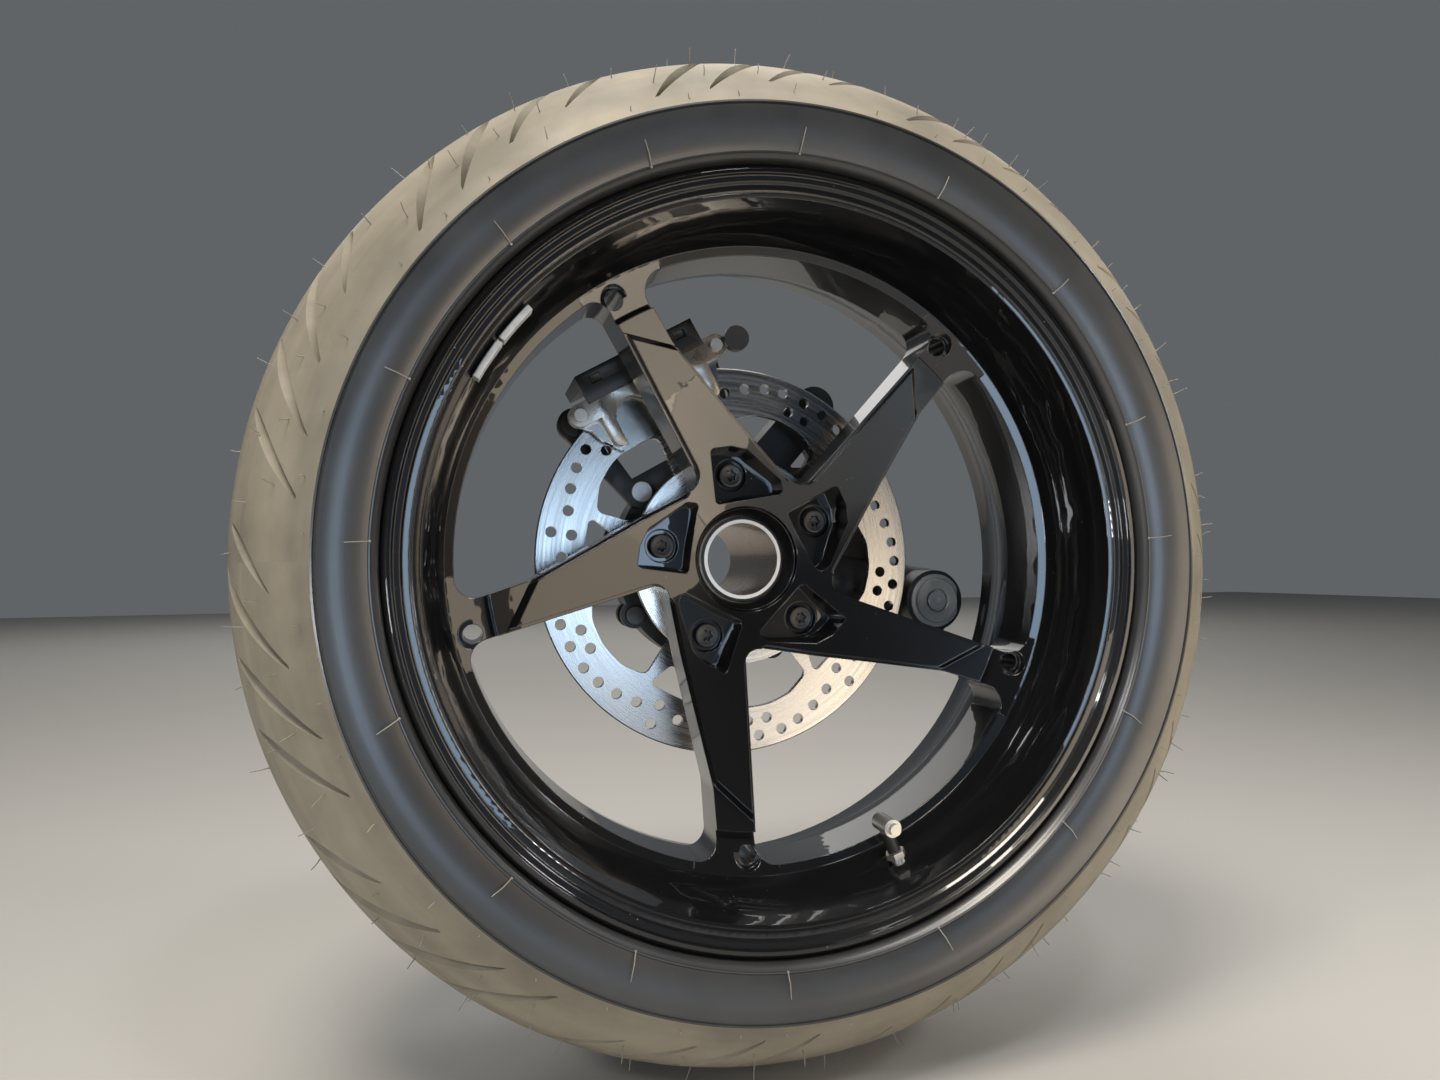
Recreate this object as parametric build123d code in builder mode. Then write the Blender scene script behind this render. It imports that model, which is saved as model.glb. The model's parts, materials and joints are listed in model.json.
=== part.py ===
from build123d import *
from math import atan2, cos, degrees, hypot, radians, sin
import os

# Rear wheel of a standard motorcycle with the drive unit that carries it.
# Millimetres. X points forward, Y to the drive side, Z up. The origin is the mouth of the
# far pivot bore, where the swing arm's stud enters the drive unit.
# A name that ends in _Y is a place along the axle, counted from the wheel's centre plane.

# Wheel centre, seen from the pivot
PIVOT_AHEAD = 172.0
PIVOT_BELOW = 34.0
PIVOT_FACE_Y = 160.0

# Tyre, 190/55-17
TYRE_RADIUS = 320.4
TYRE_HALF_WIDTH = 95.0
SHOULDER_RADIUS = 268.0
SIDEWALL_RADIUS = 252.0
TREAD_THICKNESS = 11.0
SIDEWALL_THICKNESS = 8.0
BEAD_GAP = 0.3

# Rim, 17 x 6.00
BEAD_SEAT_RADIUS = 218.3
BEAD_SEAT_Y = 72.0
BEAD_TOE_Y = 56.0
BEAD_TAPER = 1.4
HUMP_RISE = 1.6
FLANGE_RADIUS = 232.3
FLANGE_Y = 76.2
LIP_Y = 84.0
LIP_RADIUS = 225.0
RIM_WALL = 4.6
BARREL_RADIUS = 196.5
WINDOW_LIP = 0.6
WELL_NEAR_Y = -7.0
WELL_FAR_Y = 20.0
STEP_RADIUS = 205.0
STEP_Y = -40.0

# Hub
SPOKES = 5
BORE_RADIUS = 30.2
HUB_LIP_RADIUS = 35.7
HUB_LIP_Y = 26.0
HUB_SEAT_Y = 34.0
HUB_BACK_Y = 50.0
HUB_BACK_RADIUS = 76.0
HUB_FACE_RADIUS = 70.0

# Spokes: front faces on one cone, and outlines as (along, across) the spoke's own ray
SPOKE_ANGLE = 50.96
FACE_Y = 16.0
FACE_RADIUS = 60.0
FACE_SLOPE = -0.35
WEB_STEP = 5.0
WEB_BACK_Y = 12.0
CROTCH_RADIUS = 61.5
CROTCH_WIDTH = 13.0
CROTCH_FILLET = 9.0
BARREL_FILLET = 12.0
SPOKE_TRAILING = ((95.0, -40.0), (150.0, -27.0), (230.0, -23.0))
SPOKE_HEEL = (66.6, -47.0)
FACE_END_LEADING = 171.0
FACE_END_TRAILING = 147.0
HOLLOW_DEPTH = 9.0
HOLLOW_MIDDLE = 125.0
HOLLOW = ((92.0, -7.0), (162.0, -7.0), (160.0, -19.0), (100.0, -32.0))
HOLLOW_FILLET = 4.0
WEB_HOLE_ALONG = 190.0
WEB_HOLE_ACROSS = -5.6
WEB_HOLE_RADIUS = 5.8
WEB_SINK_RADIUS = 8.7
WEB_SINK = 3.0

# Wheel bolts, and their pockets as (along, across) the bolt's own ray
BOLT_ANGLE = 26.67
BOLT_CIRCLE_RADIUS = 59.5
BOLT_HEAD_RADIUS = 8.4
BOLT_HEAD_HEIGHT = 6.4
BOLT_SHANK_RADIUS = 5.0
BOLT_CLEARANCE = 0.3
BOLT_SOCKET_RADIUS = 3.4
BOLT_SOCKET_DEPTH = 3.5
POCKET_FLOOR_Y = 38.0
POCKET = ((78.0, 18.0), (78.0, 3.0), (74.0, -9.0), (50.0, -31.0), (41.0, -32.0), (40.5, 16.5))
POCKET_FILLET = 3.0

# Hollow axle
AXLE_RADIUS = 29.7
AXLE_BORE_RADIUS = 25.5
AXLE_NEAR_Y = 35.0
AXLE_FAR_Y = 160.0
AXLE_FLANGE_RADIUS = 75.0
AXLE_FLANGE_THICKNESS = 8.0
AXLE_NECK_RADIUS = 46.0
DISC_SEAT_RADIUS = 66.0
DISC_SEAT_THICKNESS = 7.4

# Brake disc, with its angles on the wheel
DISC_RADIUS = 142.5
DISC_BAND_RADIUS = 110.6
DISC_Y = 69.4
DISC_THICKNESS = 5.0
DISC_RING_RADIUS = 49.0
DISC_ARM_ANGLE = 234.5
DISC_ARM_ROOT_RADIUS = 70.0
DISC_BOLT_CIRCLE_RADIUS = 58.0
DISC_BOLT_RADIUS = 6.0
DISC_BOLT_HEIGHT = 4.0
DISC_HOLE_RADIUS = 3.9
DISC_HOLE_ANGLE = 199.8
# Vent holes of one fifth of the disc: angle from the first, radius
DISC_HOLES = (
    (0.0, 132.5), (7.4, 132.5), (15.2, 132.5), (21.6, 130.8), (28.4, 127.8), (35.4, 124.0),
    (43.2, 117.8), (43.2, 132.5), (51.0, 123.4), (58.0, 128.0), (65.0, 131.6),
    (4.2, 120.6), (11.2, 120.9),
)

# Valve
VALVE_ANGLE = 291.7
VALVE_Y = -47.0
VALVE_STEM_RADIUS = 4.2
VALVE_STEM_CLEARANCE = 0.3
VALVE_FACE_RADIUS = 206.0
VALVE_FACE_WIDTH = 9.0
VALVE_END_RADIUS = 212.0
VALVE_NUT_RADIUS = 6.5
VALVE_NUT_HEIGHT = 4.0
VALVE_CORNER_RADIUS = 182.0
VALVE_CAP_RADIUS = 5.6
VALVE_CAP_LENGTH = 20.0
VALVE_TIP_RADIUS = 3.6
VALVE_TIP_LENGTH = 4.0

# Balance weights on the near inside of the barrel
WEIGHT_ANGLES = (140.4, 147.6)
WEIGHT_SPAN = 6.7
WEIGHT_MIDDLE_Y = -63.0
WEIGHT_WIDTH = 12.0
WEIGHT_THICKNESS = 4.0

# Drive housing
HOUSING_NEAR_Y = 97.0
HOUSING_SPLIT_Y = 124.0
HOUSING_FAR_Y = 152.0
HOUSING_RADIUS = 80.0
HOUSING_WALL = 7.0
HOUSING_BORE_RADIUS = 31.0
HOUSING_BOSS_RADIUS = 43.0
HOUSING_BOSS_Y = 81.0
HOUSING_FLANGE_THICKNESS = 8.0
HOUSING_BOLT_ANGLES = (31.4, 76.4, 166.4, 211.4, 256.4, 301.4)
HOUSING_BOLT_CIRCLE_RADIUS = 78.5
HOUSING_LOBE_RADIUS = 10.0
HOUSING_BOLT_RADIUS = 6.8
HOUSING_BOLT_HEIGHT = 5.0
COVER_DOME_RADIUS = 60.0
PLUG_RADIUS = 9.0
PLUG_HEIGHT = 4.0
PLUG_CIRCLE_RADIUS = 46.0
PLUG_BOSS_RADIUS = 11.5
PLUG_BOSS_HEIGHT = 14.0
PLUG_ANGLES = {"filler_plug": 90.0, "drain_plug": 270.0}

# Neck, the tube around the drive shaft's joint, and its pivots
NECK_RADIUS = 28.0
NECK_BORE_RADIUS = 23.0
NECK_Y = 124.0
NECK_PAST_PIVOT = 26.0
NECK_BORE_DEPTH = 70.0
PIVOT_BOSS_RADIUS = 24.0
PIVOT_BORE_RADIUS = 15.0
PIVOT_NEAR_Y = 80.0
PIVOT_WASHER_RADIUS = 21.0
PIVOT_WASHER_THICKNESS = 2.5
PIVOT_WASHER_FLAT = 18.5
PIVOT_CAP_RADIUS = 17.5
PIVOT_CAP_HEIGHT = 3.0
PIVOT_CAP_BORE_RADIUS = 9.0
PIVOT_BOLT_RADIUS = 7.6
PIVOT_BOLT_CLEARANCE = 0.3
PIVOT_BOLT_END_GAP = 2.0
PIVOT_BOLT_SUNK = 0.5

# Arm and lug for the torque strut, above the neck
STRUT_X = 79.0
STRUT_Z = 121.0
STRUT_ROOT_X = 30.0
STRUT_ROOT_Z = 66.0
STRUT_ARM_HALF_WIDTH = 16.0
STRUT_Y = 113.0
STRUT_THICKNESS = 32.0
STRUT_SLOT = 16.0
STRUT_BORE_RADIUS = 6.1
WEB_THICKNESS = 9.0
WEB_WINDOW_X = 68.0
WEB_WINDOW_Z = 82.0
WEB_WINDOW_RADIUS = 10.0

# Caliper: out along a ray of its own, and across it from the caliper's middle
CALIPER_ANGLE = 119.0
CALIPER_SHIFT = -6.0
CALIPER_HALF_LENGTH = 43.0
CALIPER_INNER = 110.0
CALIPER_OUTER = 146.0
CALIPER_BRIDGE_OUTER = 158.0
CALIPER_BRIDGE_INNER = 145.4
CALIPER_NEAR_Y = 46.0
CALIPER_FAR_Y = 108.0
CALIPER_CORNER = 5.0
CYLINDER_HALF_LENGTH = 36.0
FINGER_PITCH = 20.5
FINGER_OUT = 124.0
FINGER_RADIUS = 14.5
COVER_OUTER = 167.0
COVER_HALF_LENGTH = 47.0
COVER_INSET = 0.3
PAD_GAP = 0.4
PAD_LINING = 7.0
PAD_PLATE = 5.0
PAD_INNER = 106.5
PAD_OUTER = 141.0
PAD_HALF_LENGTH = 45.0
# Half of the near pad's plate, which has ears
PAD_EAR = ((106.5, 38.0), (121.0, 49.0), (130.0, 52.0), (134.6, 57.0), (134.6, 47.0), (141.0, 43.0))
SLIDE_OUT = 142.0
SLIDE_ACROSS = 55.5
SLIDE_RADIUS = 3.5
SLIDE_HEAD_RADIUS = 4.6
EAR_RADIUS = 8.0
EAR_THICKNESS = 8.0
BOOT_RADIUS = 9.5
BOOT_LENGTH = 7.5
BLEED_RADIUS = 3.5
BLEED_LENGTH = 14.0

# Bracket that carries the caliper
BRACKET_BOLT_OUT = 75.0
BRACKET_BOLT_ACROSS = 36.4
BRACKET_THICKNESS = 9.0
BRACKET_END_RADIUS = 12.0
BRACKET_BOLT_RADIUS = 7.5
BRACKET_BOLT_HEIGHT = 5.5

# Hose union on the caliper's forward end
UNION_OUT = 139.0
UNION_ACROSS = -70.0
UNION_RADIUS = 9.0
UNION_BOLT_RADIUS = 6.0
UNION_STUB_RADIUS = 5.0
UNION_STUB_LENGTH = 26.0
UNION_NEAR_Y = 40.0

WHEEL = (-PIVOT_AHEAD, -PIVOT_FACE_Y, PIVOT_BELOW)
AXLE = Axis(WHEEL, (0, 1, 0))
PITCH = 360.0 / SPOKES
PIVOT_RADIUS = hypot(PIVOT_AHEAD, PIVOT_BELOW)
PIVOT_ANGLE = -degrees(atan2(PIVOT_BELOW, PIVOT_AHEAD))
DISC_FAR_Y = DISC_Y + DISC_THICKNESS
BRACKET_NEAR_Y = HOUSING_NEAR_Y - BRACKET_THICKNESS
STRUT_FAR_Y = STRUT_Y + STRUT_THICKNESS / 2


def wheel_plane(y, turn=0.0):
    """A plane square to the axle at y, x turned up from forward, facing the near side."""
    return Plane(
        origin=(WHEEL[0], WHEEL[1] + y, WHEEL[2]),
        x_dir=(cos(radians(turn)), 0, sin(radians(turn))),
        z_dir=(0, -1, 0),
    )


def section_plane(turn=0.0):
    """A plane through the axle, x outwards and y along the axle."""
    return Plane(
        origin=WHEEL,
        x_dir=(cos(radians(turn)), 0, sin(radians(turn))),
        z_dir=(-sin(radians(turn)), 0, cos(radians(turn))),
    )


def caliper_plane(y):
    """A plane square to the axle, x out along the caliper's ray and y across it."""
    across = CALIPER_SHIFT
    turn = radians(CALIPER_ANGLE)
    return Plane(
        origin=(WHEEL[0] - across * sin(turn), WHEEL[1] + y, WHEEL[2] + across * cos(turn)),
        x_dir=(cos(turn), 0, sin(turn)),
        z_dir=(0, -1, 0),
    )


def valve_plane(radius):
    """A plane square to the valve's hole, at a radius, facing the axle."""
    out = Vector(cos(radians(VALVE_ANGLE)), 0, sin(radians(VALVE_ANGLE)))
    return Plane(origin=Vector(*WHEEL) + out * radius + Vector(0, VALVE_Y, 0), z_dir=-out)


def spoke_hollow_plane(turn):
    """A plane that follows the spoke's front face, behind it by the hollow's depth."""
    along = Vector(cos(radians(turn)), FACE_SLOPE, sin(radians(turn)))
    across = Vector(-sin(radians(turn)), 0, cos(radians(turn)))
    middle = Vector(*WHEEL) + Vector(
        HOLLOW_MIDDLE * cos(radians(turn)),
        face_y(HOLLOW_MIDDLE) + HOLLOW_DEPTH,
        HOLLOW_MIDDLE * sin(radians(turn)),
    )
    return Plane(origin=middle, x_dir=along, z_dir=along.cross(across))


def polar(radius, angle):
    return (radius * cos(radians(angle)), radius * sin(radians(angle)))


def turned(point, angle):
    """The point of a sketch turned about its origin."""
    along, across = point
    return polar(hypot(along, across), degrees(atan2(across, along)) + angle)


def face_y(radius):
    """Where the spokes' front faces lie at a radius."""
    return FACE_Y + FACE_SLOPE * (radius - FACE_RADIUS)


def from_axle(point):
    return hypot(point.X - WHEEL[0], point.Z - WHEEL[2])


def on_face(edge):
    """True for an edge that lies on the cone of the spokes' front faces."""
    spots = [edge.position_at(share) for share in (0.0, 0.5, 1.0)]
    return all(abs(spot.Y - WHEEL[1] - face_y(from_axle(spot))) < 0.05 for spot in spots)


os.makedirs("parts", exist_ok=True)

# Faces of the spokes and hub, raised above the webs, each ended by a slanting cut
with BuildPart() as faces:
    with BuildSketch(section_plane()):
        Polygon(
            (HUB_LIP_RADIUS + 1.0, face_y(HUB_LIP_RADIUS + 1.0)),
            (FACE_END_LEADING + 10.0, face_y(FACE_END_LEADING + 10.0)),
            (FACE_END_LEADING + 10.0, face_y(FACE_END_LEADING + 10.0) + 2 * WEB_STEP),
            (HUB_LIP_RADIUS + 1.0, face_y(HUB_LIP_RADIUS + 1.0) + 2 * WEB_STEP),
            align=None,
        )
    revolve(axis=AXLE)
    with BuildSketch(wheel_plane(HUB_BACK_Y)) as outlines:
        Circle(HUB_FACE_RADIUS)
        for spoke in range(SPOKES):
            turn = SPOKE_ANGLE + PITCH * spoke
            outline = (
                (0.0, 5.0),
                (FACE_END_LEADING + 4.0, 5.0),
                (FACE_END_TRAILING - 6.0, -34.0),
                (90.0, -50.0),
                (50.0, -62.0),
            )
            with BuildLine():
                Polyline(*[turned(point, turn) for point in outline], close=True)
            make_face()
    extrude(amount=2 * LIP_Y, mode=Mode.INTERSECT)
    ends = faces.edges().filter_by(
        lambda edge: on_face(edge) and FACE_END_TRAILING < from_axle(edge.center()) < FACE_END_LEADING
    )
    chamfer(ends, 0.7 * WEB_STEP)

# Rim: one casting of barrel, spokes and hub
RIM_HALF = (
    (LIP_RADIUS - 4.0, LIP_Y - 3.5),
    (LIP_RADIUS, LIP_Y),
    (FLANGE_RADIUS - 3.0, LIP_Y),
    (FLANGE_RADIUS, LIP_Y - 3.0),
    (FLANGE_RADIUS - 1.0, FLANGE_Y + 0.8),
    (BEAD_SEAT_RADIUS + 3.5, FLANGE_Y),
    (BEAD_SEAT_RADIUS, BEAD_SEAT_Y),
    (BEAD_SEAT_RADIUS - BEAD_TAPER, BEAD_TOE_Y),
    (BEAD_SEAT_RADIUS - BEAD_TAPER + HUMP_RISE, BEAD_TOE_Y - 2.5),
    (BEAD_SEAT_RADIUS - BEAD_TAPER, BEAD_TOE_Y - 5.5),
)
with BuildPart() as rim:
    with BuildSketch(section_plane()):
        with BuildLine():
            Polyline(
                (BORE_RADIUS, HUB_BACK_Y),
                (BORE_RADIUS, HUB_SEAT_Y),
                (HUB_LIP_RADIUS, HUB_LIP_Y),
                (HUB_LIP_RADIUS + 1.0, face_y(HUB_LIP_RADIUS + 1.0) + WEB_STEP),
                (BARREL_RADIUS + 5.0, face_y(BARREL_RADIUS + 5.0) + WEB_STEP),
                (STEP_RADIUS, STEP_Y),
                (STEP_RADIUS + 2.0, STEP_Y - 4.0),
                (BEAD_SEAT_RADIUS - RIM_WALL - 2.0, -BEAD_TOE_Y),
                (BEAD_SEAT_RADIUS - RIM_WALL + 0.5, -FLANGE_Y - 1.8),
                *[(radius, -y) for radius, y in RIM_HALF],
                (STEP_RADIUS + RIM_WALL, STEP_Y),
                (BARREL_RADIUS + RIM_WALL, WELL_NEAR_Y),
                (BARREL_RADIUS + RIM_WALL, WELL_FAR_Y - 2.0),
                *reversed(RIM_HALF),
                (BEAD_SEAT_RADIUS - RIM_WALL + 0.5, FLANGE_Y + 1.8),
                (BEAD_SEAT_RADIUS - RIM_WALL - 2.0, BEAD_TOE_Y),
                (BARREL_RADIUS, WELL_FAR_Y),
                (BARREL_RADIUS, WEB_BACK_Y),
                (HUB_BACK_RADIUS, HUB_BACK_Y - 4.0),
                (HUB_BACK_RADIUS, HUB_BACK_Y),
                close=True,
            )
        make_face()
    revolve(axis=AXLE)
    add(faces.part)

    # Windows between the spokes: a straight leading edge and a kinked trailing edge
    for spoke in range(SPOKES):
        with BuildSketch(wheel_plane(0.0, SPOKE_ANGLE + PITCH * spoke)) as window:
            heel = turned(SPOKE_HEEL, PITCH)
            kink, knee, reach = [turned(point, PITCH) for point in SPOKE_TRAILING]
            with BuildLine():
                FilletPolyline(
                    (CROTCH_RADIUS, 0.0),
                    (hypot(*reach), 0.0),
                    polar(2 * BARREL_RADIUS, PITCH / 2),
                    reach,
                    knee,
                    kink,
                    heel,
                    (CROTCH_RADIUS, CROTCH_WIDTH),
                    radius=(CROTCH_FILLET, 0, 0, 0, 20.0, 12.0, CROTCH_FILLET, 3.0),
                    close=True,
                )
            make_face()
            Circle(BARREL_RADIUS - WINDOW_LIP, mode=Mode.INTERSECT)
            reached = BARREL_RADIUS - WINDOW_LIP - 0.01
            outer = window.vertices().filter_by(lambda v: hypot(v.X, v.Y) > reached)
            fillet(outer, BARREL_FILLET)
        extrude(amount=LIP_Y, both=True, mode=Mode.SUBTRACT)

    # Spokes are hollow from behind
    for spoke in range(SPOKES):
        with BuildSketch(spoke_hollow_plane(SPOKE_ANGLE + PITCH * spoke)):
            with BuildLine():
                FilletPolyline(
                    *[(along - HOLLOW_MIDDLE, across) for along, across in HOLLOW],
                    radius=HOLLOW_FILLET,
                    close=True,
                )
            make_face()
        extrude(amount=-LIP_Y, mode=Mode.SUBTRACT)

    # Pockets and holes of the wheel bolts
    for bolt in range(SPOKES):
        with BuildSketch(wheel_plane(POCKET_FLOOR_Y, BOLT_ANGLE + PITCH * bolt)):
            with BuildLine():
                FilletPolyline(*POCKET, radius=POCKET_FILLET, close=True)
            make_face()
        extrude(amount=LIP_Y, mode=Mode.SUBTRACT)
    with BuildSketch(wheel_plane(HUB_BACK_Y + 1.0, BOLT_ANGLE)):
        with PolarLocations(BOLT_CIRCLE_RADIUS, SPOKES):
            Circle(BOLT_SHANK_RADIUS + BOLT_CLEARANCE)
    extrude(amount=HUB_BACK_Y - POCKET_FLOOR_Y + 2.0, mode=Mode.SUBTRACT)

    # A sunk hole through the web at each spoke's outer end
    sink_y = face_y(WEB_HOLE_ALONG) + WEB_STEP + WEB_SINK
    for spoke in range(SPOKES):
        turn = SPOKE_ANGLE + PITCH * spoke
        for y, radius, depth in ((HUB_BACK_Y, WEB_HOLE_RADIUS, LIP_Y), (sink_y, WEB_SINK_RADIUS, 8.0)):
            with BuildSketch(wheel_plane(y, turn)):
                with Locations((WEB_HOLE_ALONG, WEB_HOLE_ACROSS)):
                    Circle(radius)
            extrude(amount=depth, mode=Mode.SUBTRACT)

    # Hole and flat seat of the valve
    for radius, start in (
        (VALVE_STEM_RADIUS + VALVE_STEM_CLEARANCE, FLANGE_RADIUS),
        (VALVE_FACE_WIDTH, VALVE_FACE_RADIUS),
    ):
        with BuildSketch(valve_plane(start)):
            Circle(radius)
        extrude(amount=start - VALVE_CORNER_RADIUS, mode=Mode.SUBTRACT)

rim.part.label = "rim"
export_step(rim.part, "parts/rim.step")

# Tyre: a hollow ring, open between its beads
TYRE_OUTSIDE = (
    (SHOULDER_RADIUS, TYRE_HALF_WIDTH),
    (SIDEWALL_RADIUS, TYRE_HALF_WIDTH),
    (FLANGE_RADIUS + 5.0, LIP_Y + 5.0),
    (FLANGE_RADIUS + 1.0, LIP_Y),
    (FLANGE_RADIUS + BEAD_GAP, LIP_Y - 3.0),
    (FLANGE_RADIUS + BEAD_GAP, FLANGE_Y - BEAD_GAP),
    (BEAD_SEAT_RADIUS + 4.0, FLANGE_Y - 2 * BEAD_GAP),
    (BEAD_SEAT_RADIUS + BEAD_GAP, BEAD_SEAT_Y - 1.0),
    (BEAD_SEAT_RADIUS + BEAD_GAP, BEAD_TOE_Y + 2.0),
    (FLANGE_RADIUS + 3.0, FLANGE_Y - SIDEWALL_THICKNESS),
    (SIDEWALL_RADIUS, TYRE_HALF_WIDTH - SIDEWALL_THICKNESS),
    (SHOULDER_RADIUS - 2.0, TYRE_HALF_WIDTH - TREAD_THICKNESS),
)
with BuildPart() as tyre:
    with BuildSketch(section_plane()):
        with BuildLine():
            Polyline(*TYRE_OUTSIDE)
            Polyline(*[(radius, -y) for radius, y in TYRE_OUTSIDE])
            ThreePointArc(
                (SHOULDER_RADIUS, TYRE_HALF_WIDTH),
                (TYRE_RADIUS, 0.0),
                (SHOULDER_RADIUS, -TYRE_HALF_WIDTH),
            )
            ThreePointArc(
                (SHOULDER_RADIUS - 2.0, TYRE_HALF_WIDTH - TREAD_THICKNESS),
                (TYRE_RADIUS - TREAD_THICKNESS, 0.0),
                (SHOULDER_RADIUS - 2.0, TREAD_THICKNESS - TYRE_HALF_WIDTH),
            )
        make_face()
    revolve(axis=AXLE)
tyre.part.label = "tyre"
export_step(tyre.part, "parts/tyre.step")

# Valve: a stem through the barrel and a cap turned to the near side
valve_out = (cos(radians(VALVE_ANGLE)), 0, sin(radians(VALVE_ANGLE)))
valve_corner = Vector(*WHEEL) + Vector(*valve_out) * VALVE_CORNER_RADIUS + Vector(0, VALVE_Y, 0)
valve_cap_plane = Plane(origin=valve_corner + Vector(0, VALVE_CAP_RADIUS, 0), z_dir=(0, -1, 0))
with BuildPart() as valve:
    with BuildSketch(Plane(origin=valve_corner, z_dir=valve_out)):
        Circle(VALVE_STEM_RADIUS)
    extrude(amount=VALVE_END_RADIUS - VALVE_CORNER_RADIUS)
    nut_out = VALVE_FACE_RADIUS - VALVE_NUT_HEIGHT - VALVE_CORNER_RADIUS - VALVE_STEM_CLEARANCE
    with BuildSketch(Plane(origin=valve_corner, z_dir=valve_out).offset(nut_out)):
        RegularPolygon(VALVE_NUT_RADIUS, 6)
    extrude(amount=VALVE_NUT_HEIGHT)
    for radius, length in (
        (VALVE_CAP_RADIUS, VALVE_CAP_LENGTH),
        (VALVE_TIP_RADIUS, VALVE_CAP_LENGTH + VALVE_TIP_LENGTH),
    ):
        with BuildSketch(valve_cap_plane):
            Circle(radius)
        extrude(amount=length)
valve.part.label = "valve"
export_step(valve.part, "parts/valve.step")

# Balance weights stuck side by side on the barrel
WEIGHT_SEAT_RADIUS = BEAD_SEAT_RADIUS - RIM_WALL - 2.3
with BuildPart() as balance_weights:
    for angle in WEIGHT_ANGLES:
        with BuildSketch(section_plane(angle - WEIGHT_SPAN / 2)):
            with Locations((WEIGHT_SEAT_RADIUS - WEIGHT_THICKNESS / 2, WEIGHT_MIDDLE_Y)):
                RectangleRounded(WEIGHT_THICKNESS, WEIGHT_WIDTH, 1.0)
        revolve(axis=AXLE, revolution_arc=-WEIGHT_SPAN)
balance_weights.part.label = "balance_weights"
export_step(balance_weights.part, "parts/balance_weights.step")

# Wheel bolts: round heads with a six-lobed socket
with BuildPart() as wheel_bolts:
    with BuildSketch(wheel_plane(POCKET_FLOOR_Y, BOLT_ANGLE)):
        with PolarLocations(BOLT_CIRCLE_RADIUS, SPOKES):
            Circle(BOLT_HEAD_RADIUS)
    extrude(amount=BOLT_HEAD_HEIGHT)
    chamfer(wheel_bolts.faces().sort_by(Axis.Y)[:SPOKES].edges(), 1.0)
    with BuildSketch(wheel_plane(HUB_BACK_Y, BOLT_ANGLE)):
        with PolarLocations(BOLT_CIRCLE_RADIUS, SPOKES):
            Circle(BOLT_SHANK_RADIUS)
    extrude(amount=HUB_BACK_Y - POCKET_FLOOR_Y)
    with BuildSketch(wheel_plane(POCKET_FLOOR_Y - BOLT_HEAD_HEIGHT, BOLT_ANGLE)):
        with PolarLocations(BOLT_CIRCLE_RADIUS, SPOKES):
            RegularPolygon(BOLT_SOCKET_RADIUS, 6)
    extrude(amount=-BOLT_SOCKET_DEPTH, mode=Mode.SUBTRACT)
wheel_bolts.part.label = "wheel_bolts"
export_step(wheel_bolts.part, "parts/wheel_bolts.step")

# Hollow axle with the wheel's flange and the disc's seat
with BuildPart() as hollow_axle:
    with BuildSketch(section_plane()):
        with BuildLine():
            Polyline(
                (AXLE_BORE_RADIUS, AXLE_NEAR_Y),
                (AXLE_RADIUS, AXLE_NEAR_Y),
                (AXLE_RADIUS, HUB_BACK_Y),
                (AXLE_FLANGE_RADIUS, HUB_BACK_Y),
                (AXLE_FLANGE_RADIUS, HUB_BACK_Y + AXLE_FLANGE_THICKNESS),
                (AXLE_NECK_RADIUS, HUB_BACK_Y + AXLE_FLANGE_THICKNESS),
                (AXLE_NECK_RADIUS, DISC_Y - DISC_SEAT_THICKNESS),
                (DISC_SEAT_RADIUS, DISC_Y - DISC_SEAT_THICKNESS),
                (DISC_SEAT_RADIUS, DISC_Y),
                (AXLE_RADIUS, DISC_Y),
                (AXLE_RADIUS, AXLE_FAR_Y),
                (AXLE_BORE_RADIUS, AXLE_FAR_Y),
                close=True,
            )
        make_face()
    revolve(axis=AXLE)
hollow_axle.part.label = "hollow_axle"
export_step(hollow_axle.part, "parts/hollow_axle.step")

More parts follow.
